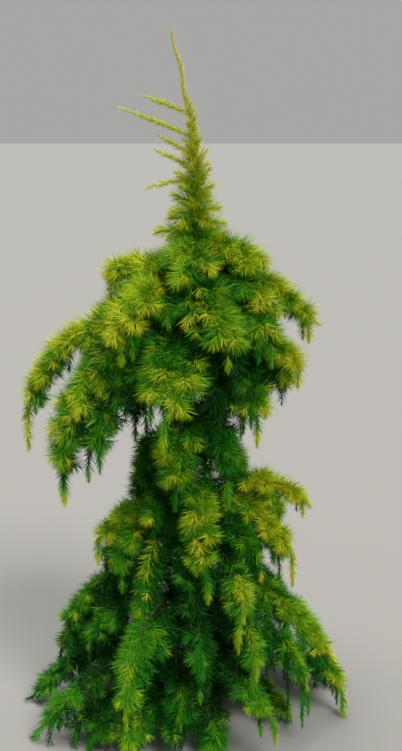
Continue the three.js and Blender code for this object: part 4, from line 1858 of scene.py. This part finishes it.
@dataclass
class Studio:
    """The plain pale floor, the soft light and the camera at the photograph's angle."""

    camera_place: tuple[float, float, float] = (0.0225, -2.63, 1.60)
    camera_pitch: float = -14.0
    lens: float = 50.0
    floor: FloorFinish = FloorFinish()
    # Half the floor's width, which reaches to the horizon
    floor_half: float = 60.0
    sky: str = "#ededea"
    sky_strength: float = 0.46
    suns: tuple[Sun, ...] = (
        Sun("key", (-1.5, 2.0, -2.9), 24.0, 2.35),
        Sun("top", (0.6, -0.4, -3.3), 42.0, 2.4),
    )

    def build(self) -> None:
        """Set up the camera, the floor and the lights."""
        camera = bpy.data.cameras.new("camera")
        camera.lens = self.lens
        view = bpy.data.objects.new("camera", camera)
        view.location = self.camera_place
        view.rotation_euler = (math.radians(90 + self.camera_pitch), 0.0, 0.0)
        bpy.context.scene.collection.objects.link(view)
        bpy.context.scene.camera = view
        bpy.context.scene.view_settings.view_transform = "Standard"
        self.build_floor()
        self.build_light()

    def build_floor(self) -> None:
        """Lay the floor."""
        mesh = bpy.data.meshes.new("floor")
        half = self.floor_half
        corners = [(-half, -half, 0), (half, -half, 0), (half, half, 0), (-half, half, 0)]
        mesh.from_pydata(corners, [], [(0, 1, 2, 3)])
        mesh.materials.append(self.floor.material())
        floor = bpy.data.objects.new("floor", mesh)
        bpy.context.scene.collection.objects.link(floor)

    def build_light(self) -> None:
        """Light the tree as an overcast sky does, mostly from above."""
        world = bpy.data.worlds.new("soft sky")
        world.use_nodes = True
        background = world.node_tree.nodes["Background"]
        background.inputs["Color"].default_value = linear_colour(self.sky)
        background.inputs["Strength"].default_value = self.sky_strength
        bpy.context.scene.world = world
        for sun in self.suns:
            lamp = bpy.data.lights.new(sun.name, "SUN")
            lamp.angle = math.radians(sun.width)
            lamp.energy = sun.strength
            lit = bpy.data.objects.new(sun.name, lamp)
            lit.rotation_euler = Vector(sun.aim).to_track_quat("-Z", "Y").to_euler()
            bpy.context.scene.collection.objects.link(lit)


def main() -> None:
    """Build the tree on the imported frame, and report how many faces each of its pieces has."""
    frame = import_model()
    nodes_by_slot: dict[str, list[str]] = {}
    for part in frame["record"]["subparts"]:
        if part["node"].startswith("foliage_"):
            nodes_by_slot.setdefault(part["material_slot"], []).append(part["node"])
    boughs = [name for name in frame["nodes"] if name.startswith("bough_")]
    Studio().build()
    bark = BarkFinish().material()
    trunk = Trunk()
    pieces = [trunk.build(bark)]
    crown = Crown(trunk)
    crown.grow(set(boughs))
    pieces.extend(crown.build(nodes_by_slot, boughs, bark))
    for piece in pieces:
        LOG.info("%s: %d faces", piece.name, len(piece.data.polygons))


if __name__ == "__main__":
    main()
